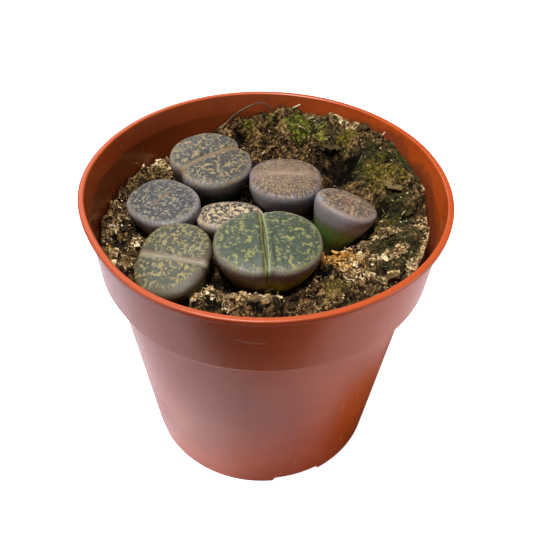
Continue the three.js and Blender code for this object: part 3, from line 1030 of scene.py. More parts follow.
@dataclass
class NurseryPot:
    """The pot: a tapered body, a stepped collar and a rolled lip in one thin wall."""

    finish: PotPlastic
    rim_radius: float = 52.5
    lip_width: float = 1.7
    lip_height: float = 1.7
    wall: float = 0.9
    collar_top: float = 50.8
    collar_foot: float = 49.0
    collar_depth: float = 23.3
    body_top: float = 46.0
    body_foot: float = 37.6
    floor_height: float = 2.4
    floor_fillet: float = 2.0
    foot_rib: float = 1.5
    round: float = 0.5
    steps: int = 160
    notch_count: int = 4
    notch_half_angle: float = 13.4
    notch_rise: float = 2.3
    notch_first: float = -70.8
    drain_count: int = 8
    drain_radius: float = 3.6
    drain_ring: float = 27.0

    # Share of a wall point's radius at which the peat beside it is measured
    PEAT_BESIDE = 0.93
    # How far the soft collar leans outwards and sags, by the heading from the middle
    LEAN = ((-180, 0.0), (-165, -0.3), (-155, -0.6), (-147, -0.5), (-138, 0.1), (-128, 0.7),
            (-115, 0.95), (-90, 0.8), (-65, 0.65), (-35, 0.6), (-15, 0.35), (10, 0.0),
            (60, -0.15), (120, -0.15), (180, 0.0))
    SAG = ((-180, 0.0), (-150, 0.0), (-138, 0.3), (-122, 0.8), (-105, 0.8), (-85, 0.6),
           (-60, 0.3), (-30, 0.05), (0, 0.0), (180, 0.0))

    @property
    def step(self) -> float:
        """The height of the collar's foot, where the wall steps out."""
        return POT_HEIGHT - self.collar_depth

    def body_radius(self, z: Points) -> Points:
        """Gives the body's outer radius below the collar at a height."""
        return self.body_foot + (self.body_top - self.body_foot) * z / self.step

    def outer_radius(self, z: Points, above: float = 0.0) -> Points:
        """Gives the pot's outer radius at a height.

        Args:
            z: The height.
            above: How far above the collar's foot the body's radius still counts.

        Returns:
            The radius of the body, or of the collar over it.
        """
        rise = (z - self.step) / (self.collar_depth - self.lip_height)
        collar = self.collar_foot + (self.collar_top - self.collar_foot) * rise
        return np.where(z <= self.step + above, self.body_radius(z), collar)

    def section(self) -> list[Place]:
        """Lists the corners of the section that is spun round into the pot.

        Returns:
            Each corner's radius, height and rounding.
        """
        lip_foot = POT_HEIGHT - self.lip_height
        foot = self.step
        ledge, top = foot + self.wall, self.floor_height + self.wall
        edge = self.round
        return [
            (0.0, self.floor_height, 0.0),
            (self.body_foot - self.foot_rib, self.floor_height, 0.4),
            (self.body_foot - self.foot_rib, 0.0, 0.4),
            (self.body_foot, 0.0, edge),
            (self.body_radius(foot), foot, edge),
            (self.collar_foot, foot, edge * 1.8),
            (self.collar_top, lip_foot, 0.25),
            (self.rim_radius, lip_foot, 0.35),
            (self.rim_radius, POT_HEIGHT - 0.08, edge * 0.8),
            (self.rim_radius - self.lip_width / 2, POT_HEIGHT, 0.35),
            (self.rim_radius - self.lip_width, POT_HEIGHT - 0.08, edge * 0.8),
            (self.collar_top - self.wall - 0.37, lip_foot - 4.5, 0.4),
            (self.collar_foot - self.wall, ledge, edge),
            (self.body_radius(foot - self.wall) - self.wall, ledge, edge),
            (self.body_radius(top) - self.wall, top, self.floor_fillet),
            (0.0, top, 0.0),
        ]

    def build(self) -> Piece:
        """Spins the section round the axis, cuts the notches and drain holes, and dresses it.

        Returns:
            The finished pot.
        """
        obj = self.draw_section()
        with editing(obj):
            bpy.ops.mesh.spin(steps=self.steps, angle=2 * math.pi, center=(0, 0, 0),
                              axis=(0, 0, 1))
            bpy.ops.mesh.select_all(action="SELECT")
            bpy.ops.mesh.remove_doubles(threshold=1e-6)
            bpy.ops.mesh.normals_make_consistent(inside=False)
        for turn in range(self.notch_count):
            self.cut(obj, self.notch_blade(self.notch_first + turn * 360 / self.notch_count))
        for turn in range(self.drain_count):
            self.cut(obj, self.drain_drill((turn + 0.5) * 360 / self.drain_count))
        self.mark_inside(obj)
        self.settle(obj)
        pick(obj)
        bpy.ops.object.shade_smooth_by_angle(angle=math.radians(32))
        apply_modifier(obj, "WEIGHTED_NORMAL", keep_sharp=True)
        return dress(obj, self.finish.material(), "pot_plastic", "pot")

    def draw_section(self) -> Piece:
        """Draws the section point by point from one vertex and rounds its corners."""
        corners = self.section()
        pick()
        bpy.ops.mesh.primitive_plane_add(size=MM, location=(0, 0, 0))
        obj = newest("pot_shell")
        with editing(obj):
            bpy.ops.mesh.merge(type="CENTER")
            radius, z, _ = corners[0]
            bpy.ops.transform.translate(value=(radius * MM, 0, z * MM))
            for (r0, z0, _), (r1, z1, _) in zip(corners, corners[1:]):
                step = ((r1 - r0) * MM, 0, (z1 - z0) * MM)
                bpy.ops.mesh.extrude_vertices_move(TRANSFORM_OT_translate={"value": step})
            for radius, z, rounding in corners:
                if rounding:
                    self.round_corner(obj, radius * MM, z * MM, rounding * MM)
        return obj

    @staticmethod
    def round_corner(obj: Piece, x: float, z: float, offset: float) -> None:
        """Rounds one corner of the section, in edit mode and in metres.

        Args:
            obj: The section.
            x: The corner's distance from the axis.
            z: Its height.
            offset: How far the rounding reaches.
        """
        mesh = bmesh.from_edit_mesh(obj.data)
        for vertex in mesh.verts:
            vertex.select_set(abs(vertex.co.x - x) < 1e-6 and abs(vertex.co.z - z) < 1e-6)
        mesh.select_flush_mode()
        bmesh.update_edit_mesh(obj.data)
        bpy.ops.mesh.bevel(affect="VERTICES", offset=offset, segments=4, profile=0.5)

    def notch_blade(self, degrees: float) -> Piece:
        """Shapes the blade that cuts one notch with sloping ends through the foot rib."""
        pick()
        bpy.ops.mesh.primitive_cube_add(size=MM, location=(0, 0, 0))
        blade = newest("notch_blade")
        x, y, z = (points_of(blade) / MM).T
        width = 2 * self.body_foot * math.sin(math.radians(self.notch_half_angle))
        points = np.column_stack([
            self.body_foot - self.foot_rib / 2 + x * 6.0,
            y * width * np.where(z > 0, 0.82, 1.0),
            np.where(z > 0, self.notch_rise, -1.0),
        ])
        move_points(blade, spun(points, (math.radians(degrees), "Z")) * MM)
        return blade

    def drain_drill(self, degrees: float) -> Piece:
        """Places the drill that cuts one drain hole."""
        angle = math.radians(degrees)
        pick()
        bpy.ops.mesh.primitive_cylinder_add(
            vertices=32, radius=self.drain_radius * MM, depth=4 * MM,
            location=(self.drain_ring * math.cos(angle) * MM,
                      self.drain_ring * math.sin(angle) * MM, self.floor_height * MM))
        return newest("drain_drill")

    @staticmethod
    def cut(obj: Piece, blade: Piece) -> None:
        """Cuts one piece by another and takes the blade away."""
        apply_modifier(obj, "BOOLEAN", operation="DIFFERENCE", solver="EXACT", object=blade)
        bpy.data.objects.remove(blade)

    def settle(self, obj: Piece) -> None:
        """Presses the soft collar a little out of round, as the pot in the photo is."""
        points = points_of(obj) / MM
        x, y, z = points.T
        heading, radius = np.degrees(np.arctan2(y, x)), np.hypot(x, y)
        lean = self.by_heading(self.LEAN, heading)
        out = np.where(lean > 0, z > self.step - 0.01,
                       smoothstep(POT_HEIGHT - 13, POT_HEIGHT - 2, z))
        out = out * (radius > self.body_top - self.wall - 0.05)
        grown = (radius + lean * out) / np.maximum(radius, 1.0)
        sag = self.by_heading(self.SAG, heading) * smoothstep(self.step + 1, POT_HEIGHT - 2, z)
        move_points(obj, np.column_stack([x * grown, y * grown, z - sag]) * MM)

    @staticmethod
    def by_heading(table: Sequence[tuple[float, float]], heading: Points) -> Points:
        """Gives a table's values at headings in degrees, eased from one to the next."""
        degrees, values = zip(*table)
        near = [np.interp((heading + turn + 180) % 360 - 180, degrees, values)
                for turn in (-6, -3, 0, 3, 6)]
        return np.mean(near, axis=0)

    def mark_inside(self, obj: Piece) -> None:
        """Notes which points face the peat, how far above it they lie, and the collar's foot edge
        that gets a painted highlight.
        """
        x, y, z = (points_of(obj) / MM).T
        radius = np.hypot(x, y)
        lip_inner = self.rim_radius - self.lip_width
        inside = (radius < self.outer_radius(z) - self.wall * 0.6) & (z > self.floor_height + 0.5)
        inside |= (z > POT_HEIGHT - self.lip_height) & (radius < lip_inner + 0.03)
        write_values(obj, "inside", inside.astype(float))
        peat = PeatBed.mounded(x * self.PEAT_BESIDE, y * self.PEAT_BESIDE)
        write_values(obj, "above_peat", z - peat)
        # The collar's foot edge, which the material paints with a highlight
        edge = np.exp(-(((z - self.step - 0.25) / 0.35) ** 2))
        write_values(obj, "painted_highlight", edge * (radius > self.collar_foot - 0.8))
        lip = smoothstep(POT_HEIGHT - 2.0, POT_HEIGHT - 1.2, z)
        write_values(obj, "lip", lip * (radius > lip_inner + 0.1))


# The peat


@dataclass(frozen=True)
class PeatCrust:
    """Finish of the peat: dark crumbly soil with moss, algae, pale crust and tan scraps, with
    painted dark shade in its creases, holes and between the plants.
    """

    name: str = "mossy_peat"
    soils: tuple[Colour, ...] = (tone(13, 8, 5), tone(38, 27, 16), tone(72, 53, 33),
                                 tone(112, 86, 53), tone(164, 132, 86))
    stops: tuple[float, ...] = (0.535, 0.59, 0.635, 0.68, 0.735)
    pale: Colour = tone(220, 190, 142)
    moss: Colour = tone(138, 144, 42)
    moss_dark: Colour = tone(62, 66, 20)
    olive: Colour = tone(142, 124, 40)
    algae: Colour = tone(64, 62, 38)
    algae_dark: Colour = tone(28, 28, 17)
    tan: Colour = tone(206, 148, 66)
    painted_shade_black: Colour = tone(9, 6, 3)
    relief: float = 0.55

    def material(self) -> bpy.types.Material:
        """Builds the peat's material."""
        material, g = new_material(self.name)
        place = g.place()
        shade, fine = speckle(g, place, 1500.0, 0.6)
        mid = g.noise(place, 620.0, 4.0, 0.65)
        mixed = mid * 0.5 + fine * 0.25 + g.noise(place, 190.0, 3.0, 0.6) * 0.5
        colour = g.ramp(mixed, list(zip(self.stops, self.soils)))
        chance = g.add("SeparateColor", {"Color": g.cells(place, 1100.0, "Color")}, "Red")
        colour = g.mix(g.step(chance, 0.82, 0.88) * 0.4, colour, self.soils[4])

        def patch(kind: Peat, low: float, high: float, grain: float) -> Value:
            """Masks a patch of one kind with a ragged edge."""
            ragged = (g.noise(place, grain, 4.0, 0.65) - 0.5) * 2.2
            return g.step(g.value_of(kind.value) + ragged, low, high)

        for mask, share, cover in (
            (patch(Peat.ALGAE, 0.3, 0.6, 330.0), 0.92,
             g.mix(g.step(mid, 0.4, 0.64), self.algae_dark, self.algae)),
            (patch(Peat.OLIVE, 0.35, 0.7, 420.0), 0.85,
             g.mix(g.step(fine, 0.4, 0.62), self.moss_dark, self.olive)),
            (patch(Peat.MOSS, 0.35, 0.7, 420.0), 0.9,
             g.mix(g.step(mid, 0.42, 0.6), self.moss_dark, self.moss)),
            (patch(Peat.CRUST, 0.45, 0.75, 620.0), 0.72,
             g.mix(g.step(mid, 0.38, 0.62), self.soils[3], self.pale)),
            (patch(Peat.TAN, 0.4, 0.7, 520.0), 0.9, self.tan),
            # Painted shade: very dark colour in the holes, between the plants and in the relief's
            # creases
            (g.math("MAXIMUM", patch(Peat.PAINTED_SHADE, 0.35, 0.75, 300.0) * 0.93,
                    g.step(g.value_of("painted_crease_shade"), 0.1, 0.9) * 0.85), 1.0, self.painted_shade_black),
        ):
            colour = g.mix(mask * share, colour, cover)
        g.surface(g.dim(colour, shade), fine * 0.12 + 0.86, fine * 0.5 + mid * 0.5,
                  self.relief, Specular_IOR_Level=0.1)
        return material


@dataclass
class PeatBed:
    """The plug of peat that fills the pot, with its crumbly, partly mossy surface."""

    plants: Sequence[LivingStone]
    finish: PeatCrust
    pot: NurseryPot
    sectors: int = 560
    rings: int = 140
    side_rings: int = 8

    SURFACE = POT_HEIGHT - 16.0
    CLEARANCE = 0.35
    SHRINK_MOST = 1.5
    SHRINK_HEADING = 9.0
    SHRINK_POWER = 1.5
    CRUMB_RISE = 1.7
    CEILING = POT_HEIGHT - 2.6
    CREVICE_REACH = 1.7
    CREVICE_DEPTH = 1.9
    # Clods and grains as size, rise, seed and turn
    CLODS = ((4.7, 3.0, 31, 0.4), (2.2, 1.5, 32, 1.1))
    GRAINS = ((1.1, 0.7, 33, 1.9), (0.6, 0.35, 34, 2.7))
    # Mounds, and the hollows that the looks add, as x, y, reach and rise
    MOUNDS = (
        (-17, 45, 7, 4.0), (-4, 46, 10, 6.5), (5, 46.5, 7, 4.5), (20, 42, 16, 10.0),
        (38, 28, 14, 12.0), (42, 8, 10, 10.5), (42, -12, 11, 7.0), (19, -33, 9, 3.0),
        (-5, -37, 5, 2.6), (-37, 16, 5, 3.0), (-44, -3, 5, 1.5), (23, 22, 5.5, -6.0),
        (10, 30, 5, -2.5),
    )
    HOLLOWS = (
        (-8.0, 40.6, 3.4, -3.6), (18.6, 26.6, 2.4, -3.2), (22.4, 26.2, 3.0, -4.2),
        (26.6, 24.8, 2.6, -3.4), (-10.6, -25.6, 3.2, -3.0), (7.0, -39.0, 6.0, -2.4),
        (-14.0, -37.0, 4.0, -1.6), (16.0, -36.0, 5.0, -2.0), (-41.0, 8.0, 2.6, -2.0),
        (20.0, -9.0, 4.0, -2.2), (-3.0, -29.0, 2.6, -1.6), (4.0, -29.0, 3.0, -1.6),
        (-39.0, -5.0, 3.0, -1.8), (34.0, 1.5, 2.6, -1.6), (33.0, -20.5, 2.2, -1.6),
    )
    # The two crests of crust along the front
    FRONT_LEFT = ((-16.6, -32.6), (-15.2, -29.6), (-12.4, -28.2), (-9.8, -30.7), (-8.5, -34.8))
    FRONT = ((-8.4, -36.1), (-6.4, -34.5), (-4.4, -32.0), (-1.0, -31.4), (3.5, -31.0))
    # Ridges that the looks add, as knots, reach and rise
    RIDGES = (
        (FRONT_LEFT, 1.3, 1.8),
        (FRONT, 1.3, 1.3),
        (((14.0, 30.6), (20.0, 30.2), (27.0, 28.6)), 1.6, 1.6),
        (((33.7, 8.4), (38.0, 5.0), (42.5, 4.2)), 1.6, 1.2),
        (((49.0, 5.0), (47.6, -4.0), (46.0, -13.0), (41.5, -21.0)), 1.4, 1.1),
    )
    # Trails of crust as knots, reach and strength
    TRAILS = (
        (FRONT_LEFT, 1.7, 1.2),
        (FRONT, 1.6, 1.2),
        (((26.5, -15.9), (30.8, -16.3), (36.1, -16.8), (39.0, -16.2)), 1.4, 0.9),
        (((23.2, -11.2), (28.7, -8.9), (34.7, -8.5), (38.0, -9.4)), 1.2, 0.8),
        (((49.1, 4.1), (49.0, 1.0), (47.6, -3.0), (44.0, -6.0)), 1.8, 0.8),
        (((47.8, -6.0), (46.3, -13.4), (43.2, -18.5), (40.6, -21.5)), 1.6, 1.0),
        (((26.5, -23.5), (30.4, -22.1), (35.0, -22.8)), 1.5, 0.9),
        (((23.2, -16.5), (24.6, -19.5), (23.3, -23.4)), 2.2, 0.8),
        (((22.0, 44.0), (25.0, 41.6), (27.5, 37.0)), 1.7, 0.9),
        (((-47.0, 11.0), (-44.6, 8.5), (-42.0, 4.1)), 1.3, 0.55),
        (((-44.2, 1.4), (-42.6, -2.2), (-45.4, -5.8)), 1.2, 0.5),
        (((-46.0, -9.0), (-41.4, -14.0), (-37.3, -11.2), (-35.6, -9.0)), 1.3, 0.5),
        (((-42.0, -17.4), (-37.3, -21.5), (-36.0, -17.2)), 1.3, 0.5),
        (((-39.0, 26.5), (-35.7, 30.5), (-32.5, 27.5)), 2.0, 0.7),
    )
    # Patches as x, y, reach and strength
    PATCHES = {
        Peat.MOSS: ((10.4, 40.6, 3.6, 1.05), (7.6, 42.0, 2.2, 0.8), (8.6, 38.6, 2.4, 0.7),
                    (17.4, 34.4, 3.0, 0.6), (17.0, 38.4, 2.6, 0.5), (41.0, 22.0, 4.0, 0.55),
                    (1.5, 45.0, 2.0, 0.4)),
        Peat.OLIVE: ((35.8, 13.6, 4.6, 1.0), (33.5, 17.5, 4.0, 0.8), (40.0, 10.0, 3.4, 0.7),
                     (26.0, 33.0, 4.5, 0.6), (14.0, 44.0, 3.0, 0.5), (35.0, -3.0, 3.5, 0.6),
                     (20.0, -28.0, 4.0, 0.6), (-6.0, 44.5, 4.0, 0.5), (3.0, 40.0, 3.0, 0.5),
                     (-33.0, 26.0, 4.0, 0.6), (30.0, -5.0, 3.0, 0.6)),
        Peat.ALGAE: ((31, 22, 7, 0.85), (41, 20, 7, 0.9), (17, 40, 6, 0.6), (39, -17, 6.5, 1.1),
                     (38, -8, 6, 0.9), (24, 35, 6, 0.6), (38, 1, 6, 0.8), (45, 10, 4, 0.7),
                     (33, -13, 5, 0.9), (30, -20, 4, 0.6)),
        Peat.CRUST: np.vstack([trail(*row) for row in TRAILS]),
        Peat.TAN: ((17.4, -11.4, 3.2, 1.1), (20.6, -14.0, 4.2, 1.2), (23.4, -17.2, 3.8, 1.0),
                   (29.8, -5.6, 1.6, 0.8), (-44.0, -11.0, 1.6, 0.6)),
        # The painted shade: holes, gaps between the plants and gaps in the crust ridges
        Peat.PAINTED_SHADE: ((22.4, 26.2, 3.4, 1.2), (18.6, 26.6, 2.6, 1.0), (26.8, 24.6, 2.8, 1.0),
                   (-8.5, 40.8, 3.4, 0.9), (-2, 36.5, 3.4, 0.5), (34.4, 1.6, 2.8, 0.8),
                   (-22, 12, 5, 0.5), (8, 26, 4, 0.3), (-42.5, -10.5, 2.4, 0.8),
                   (-20, -10, 5, 0.9), (-3, 10, 8, 1.0), (14, -3, 7, 1.0), (-14, 8, 6, 1.0),
                   (-10.6, -25.6, 4.0, 1.1), (-41.5, 8.5, 2.2, 0.7), (-38.5, -4.5, 3.0, 0.8),
                   (33.0, -20.5, 2.4, 0.7), (6.0, -37.0, 4.0, 0.5), (-13.0, -33.5, 2.4, 1.0),
                   (-2.0, -34.2, 2.4, 1.0), (3.5, -33.0, 2.6, 0.9), (-7.6, -31.6, 1.2, 1.0),
                   (-17.5, -36.0, 2.5, 0.7), (28.5, -26.0, 2.6, 0.7), (12.0, -32.5, 3.0, 0.7)),
    }

    @classmethod
    def mounded(cls, x: Points, y: Points) -> Points:
        """Gives the height of the surface with its mounds, without its crumbs."""
        return bumps(x, y, cls.MOUNDS, cls.SURFACE)

    @classmethod
    def crumbed(cls, x: Points, y: Points) -> Points:
        """Gives the height of the surface with the solid's crumbs and grit."""
        z = cls.mounded(x, y) + cls.CRUMB_RISE * lumps(x, y, 4.2, 7)
        return z + 1.0 * lumps(x, y, 2.3, 8)

    @classmethod
    def clods(cls, x: Points, y: Points) -> Points:
        """Gives the clods and grains on top, as heights about 0."""
        total = np.zeros_like(x)
        bent_x = x + 1.5 * lumps(x, y, 3.4, 51) + 0.5 * lumps(x, y, 1.1, 53)
        bent_y = y + 1.5 * lumps(x, y, 3.4, 52) + 0.5 * lumps(x, y, 1.1, 54)
        for size, rise, seed, turn in cls.CLODS:
            u = bent_x * math.cos(turn) - bent_y * math.sin(turn)
            v = bent_x * math.sin(turn) + bent_y * math.cos(turn)
            total = total + rise * (clumps(u, v, size, seed) - 0.62)
        for size, rise, seed, turn in cls.GRAINS:
            u = x * math.cos(turn) - y * math.sin(turn)
            v = x * math.sin(turn) + y * math.cos(turn)
            total = total + rise * (np.abs(lumps(u, v, size, seed)) - 0.33)
        return total

    @classmethod
    def shaped(cls, x: Points, y: Points) -> Points:
        """Gives how far the looks' own hollows and ridges lift the surface."""
        total = bumps(x, y, cls.HOLLOWS)
        for knots, reach, rise in cls.RIDGES:
            near = np.full_like(x, np.inf)
            for at_x, at_y in curve_through(knots, 6):
                near = np.minimum(near, (x - at_x) ** 2 + (y - at_y) ** 2)
            total = total + rise * np.exp(-near / reach ** 2)
        return total

    def height(self, x: Points, y: Points) -> Points:
        """Gives the height of the finished surface, which sinks a little beside the plants."""
        calm = 1 - 0.6 * smoothstep(0.3, 0.9, self.patch(Peat.ALGAE, x, y))
        z = self.crumbed(x, y) + self.clods(x, y) * calm + self.shaped(x, y)
        near = self.to_plants(np.column_stack([x, y, z]))
        dip = np.exp(-(np.maximum(near, 0) / self.CREVICE_REACH) ** 2)
        dip = dip + np.where(near < -0.8, 2.0, 0.0)
        z = z - self.CREVICE_DEPTH * dip
        return np.minimum(z, self.CEILING + 0.35 * (z - self.CEILING))

    def to_plants(self, points: Points) -> Points:
        """Gives roughly how far points lie from the nearest plant's skin."""
        return np.min([plant.clearance(points) for plant in self.plants], axis=0)

    def patch(self, kind: Peat, x: Points, y: Points) -> Points:
        """Gives how strongly one kind of cover grows at each point.

        Args:
            kind: The kind of cover.
            x: First coordinate of each point.
            y: Second coordinate of each point.

        Returns:
            The strength, 0 where none grows.
        """
        total = np.zeros_like(x)
        for at_x, at_y, reach, strength in self.PATCHES[kind]:
            away = ((x - at_x) ** 2 + (y - at_y) ** 2) / reach ** 2
            total = np.maximum(total, strength * np.exp(-away * 0.7))
        return total

    def wall_radius(self, z: Points) -> Points:
        """Gives the pot's inner radius at a height."""
        return self.pot.outer_radius(z, self.pot.wall) - self.pot.wall

    def stand_off(self, angle: Points) -> Points:
        """Gives how far the peat stands off the wall in a direction."""
        facing = np.maximum(0, np.cos(angle - math.radians(self.SHRINK_HEADING)))
        return self.CLEARANCE + self.SHRINK_MOST * facing ** self.SHRINK_POWER

    def edge_radius(self, angle: Points) -> Points:
        """Gives the radius of the peat's upper edge in a direction."""
        near = self.wall_radius(np.full_like(angle, self.SURFACE)) - self.stand_off(angle)
        height = self.crumbed(near * np.cos(angle), near * np.sin(angle))
        return self.wall_radius(height - 2 * self.CRUMB_RISE) - self.stand_off(angle)

    def build(self) -> Piece:
        """Rolls the plug up from a sheet and dresses it.

        Returns:
            The finished peat.
        """
        rows = self.rings + self.side_rings + 5
        obj, row, angle = sheet_blank("peat_bed", self.sectors, rows)
        radius = self.edge_radius(angle) * np.minimum(row, self.rings) / self.rings
        z = self.height(radius * np.cos(angle), radius * np.sin(angle))
        radius, z = self.down_the_side(row, angle, radius, z)
        x, y = radius * np.cos(angle), radius * np.sin(angle)
        move_points(obj, np.column_stack([x, y, z]) * MM)
        for kind in Peat:
            write_values(obj, kind.value, self.patch(kind, x, y))
        # Depth of the creases, which the material darkens as painted shade
        write_values(obj, "painted_crease_shade", -self.clods(x, y) - 0.5 * lumps(x, y, 2.3, 8))
        close_up(obj)
        return dress(obj, self.finish.material(), "peat", "peat")

    def down_the_side(self, row: Points, angle: Points, radius: Points,
                      z: Points) -> tuple[Points, Points]:
        """Puts the rows past the surface in their places on the plug's side and underside.

        Args:
            row: Row of each point.
            angle: Its direction.
            radius: Its radius on the surface, or at the surface's edge.
            z: Its height there.

        Returns:
            The radius and the height of each point.
        """
        pot = self.pot
        floor = pot.floor_height + pot.wall + self.CLEARANCE
        fillet = floor + pot.floor_fillet + pot.wall
        neck = pot.step - pot.floor_fillet
        ledge = pot.step + pot.wall + pot.round + self.CLEARANCE
        past = row - self.rings
        share = np.clip(past / self.side_rings, 0, 1)
        side_z = z + (ledge - z) * share
        rough = 0.5 * np.abs(lumps(angle * 16, side_z, 1.6, 41)) * np.sin(math.pi * share)
        start = self.edge_radius(angle)
        end = self.wall_radius(np.full_like(z, ledge)) - self.stand_off(angle)
        on_side = (past > 0) & (past <= self.side_rings)
        radius = np.where(on_side, start + (end - start) * share - rough, radius)
        z = np.where(on_side, side_z, z)
        neck_radius = self.wall_radius(np.array(neck)) - self.CLEARANCE
        low = [
            (neck_radius, ledge), (neck_radius, neck),
            (self.wall_radius(np.array(fillet)) - self.CLEARANCE, fillet),
            (self.wall_radius(np.array(floor)) - pot.floor_fillet - self.CLEARANCE, floor),
            (0.0, floor),
        ]
        for index, (low_radius, level) in enumerate(low, self.side_rings + 1):
            radius = np.where(past == index, low_radius, radius)
            z = np.where(past == index, level, z)
        return radius, z


# What lies on the peat


@dataclass(frozen=True)
class Grain:
    """Finish of small dry bits, whose display tones differ from one bit to the next."""

    name: str
    tones: tuple[Tone, ...]
    slot: str = "peat"
    roughness: float = 0.85
    relief: float = 0.12
    grain: float = 2200.0

    def material(self) -> bpy.types.Material:
        """Builds the bits' material."""
        material, g = new_material(self.name)
        shade, fine = speckle(g, g.place(), self.grain, 0.55)
        last = len(self.tones) - 1
        stops = [(index / last, tone(*rgb)) for index, rgb in enumerate(self.tones)]
        colour = g.ramp(g.value_of("tone") + (fine - 0.5) * 0.5, stops)
        g.surface(g.dim(colour, shade), fine * 0.12 + (self.roughness - 0.06), fine, self.relief,
                  Specular_IOR_Level=0.15)
        return material


class Bit(Enum):
    """The kinds of small loose bits."""

    CLOD = "clod"
    PEBBLE = "pebble"
    FLAKE = "flake"
    FIBRE = "fibre"
    SHOOT = "shoot"


@dataclass(frozen=True)
class BitModel:
    """One small bit, modelled about the origin at unit size, before it is copied."""

    points: Points
    faces: tuple[tuple[int, ...], ...]

    @classmethod
    def make(cls, bit: Bit, variant: int) -> "BitModel":
        """Models one variant of a kind of bit.

        Args:
            bit: The kind.
            variant: Picks one of its shapes.

        Returns:
            Its vertices and faces.
        """
        pick()
        getattr(cls, "add_" + bit.value)(variant)
        obj = newest("bit")
        points = points_of(obj)
        faces = tuple(tuple(face.vertices) for face in obj.data.polygons)
        bpy.data.objects.remove(obj)
        return cls(points, faces)

    @staticmethod
    def shake(obj: Piece, offset: float, seed: int) -> None:
        """Moves a mesh's vertices by chance amounts."""
        with editing(obj):
            bpy.ops.transform.vertex_random(offset=offset, uniform=0.7, normal=0.0, seed=seed)

    @classmethod
    def add_ball(cls, shaken: float, seed: int, size: Place) -> None:
        """Adds a shaken ball.

        Args:
            shaken: How far its vertices move.
            seed: Picks how they move.
            size: Its size along each axis.
        """
        bpy.ops.mesh.primitive_ico_sphere_add(subdivisions=1, radius=0.5)
        obj = bpy.context.object
        cls.shake(obj, shaken, seed)
        move_points(obj, points_of(obj) * size)

    @classmethod
    def add_clod(cls, variant: int) -> None:
        """Adds an angular crumb."""
        cls.add_ball(0.25, variant + 1, (1.0, 0.75 - 0.1 * (variant % 3), 0.6))

    @classmethod
    def add_pebble(cls, variant: int) -> None:
        """Adds a smooth grain of grit."""
        cls.add_ball(0.1, variant + 11, (1.0, 0.85, 0.75))

    @classmethod
    def add_flake(cls, variant: int) -> None:
        """Adds a thin curled flake of bark or crust."""
        bpy.ops.mesh.primitive_grid_add(x_subdivisions=3, y_subdivisions=2, size=1.0)
        obj = bpy.context.object
        points = points_of(obj)
        points[:, 1] *= 0.45 + 0.12 * (variant % 4)
        points[:, 2] = 0.55 * points[:, 0] ** 2 - 0.5 * points[:, 1] ** 2
        move_points(obj, points)
        cls.shake(obj, 0.12, variant + 21)
        apply_modifier(obj, "SOLIDIFY", thickness=0.07)

    @classmethod
    def add_fibre(cls, variant: int) -> None:
        """Adds a thin bent fibre."""
        bpy.ops.mesh.primitive_cylinder_add(vertices=3, radius=0.03, depth=1.0)
        obj = bpy.context.object
        with editing(obj):
            for level in (0.17, -0.17):
                bpy.ops.mesh.select_all(action="SELECT")
                bpy.ops.mesh.bisect(plane_co=(0, 0, level), plane_no=(0, 0, 1))
        x, y, along = points_of(obj).T
        bend, sway = 0.5 + 0.3 * (variant % 3), 0.12 * (variant % 2)
        move_points(obj, np.column_stack([x + along, bend * along ** 2 + sway * np.sin(along * 6),
                                          y + 0.12 * np.sin(along * 3.1 + variant)]))

    @classmethod
    def add_shoot(cls, variant: int) -> None:
        """Adds a moss shoot: a tuft of pointed leaves that lean outwards."""
        rng = np.random.default_rng(variant + 70)
        leaves = []
        for turn in range(6):
            bpy.ops.mesh.primitive_cone_add(vertices=3, radius1=0.13, radius2=0, depth=0.8,
                                            end_fill_type="NOTHING")
            leaf = bpy.context.object
            points = (points_of(leaf) + (0, 0, 0.4)) * (1, 0.45, 1)
            lean, spin = rng.uniform(0.45, 1.15), turn * 1.047 + rng.uniform(-0.3, 0.3)
            move_points(leaf, spun(points, (spin, "Z"), (lean, "X")))
            leaves.append(leaf)
        pick(*reversed(leaves))
        bpy.ops.object.join()


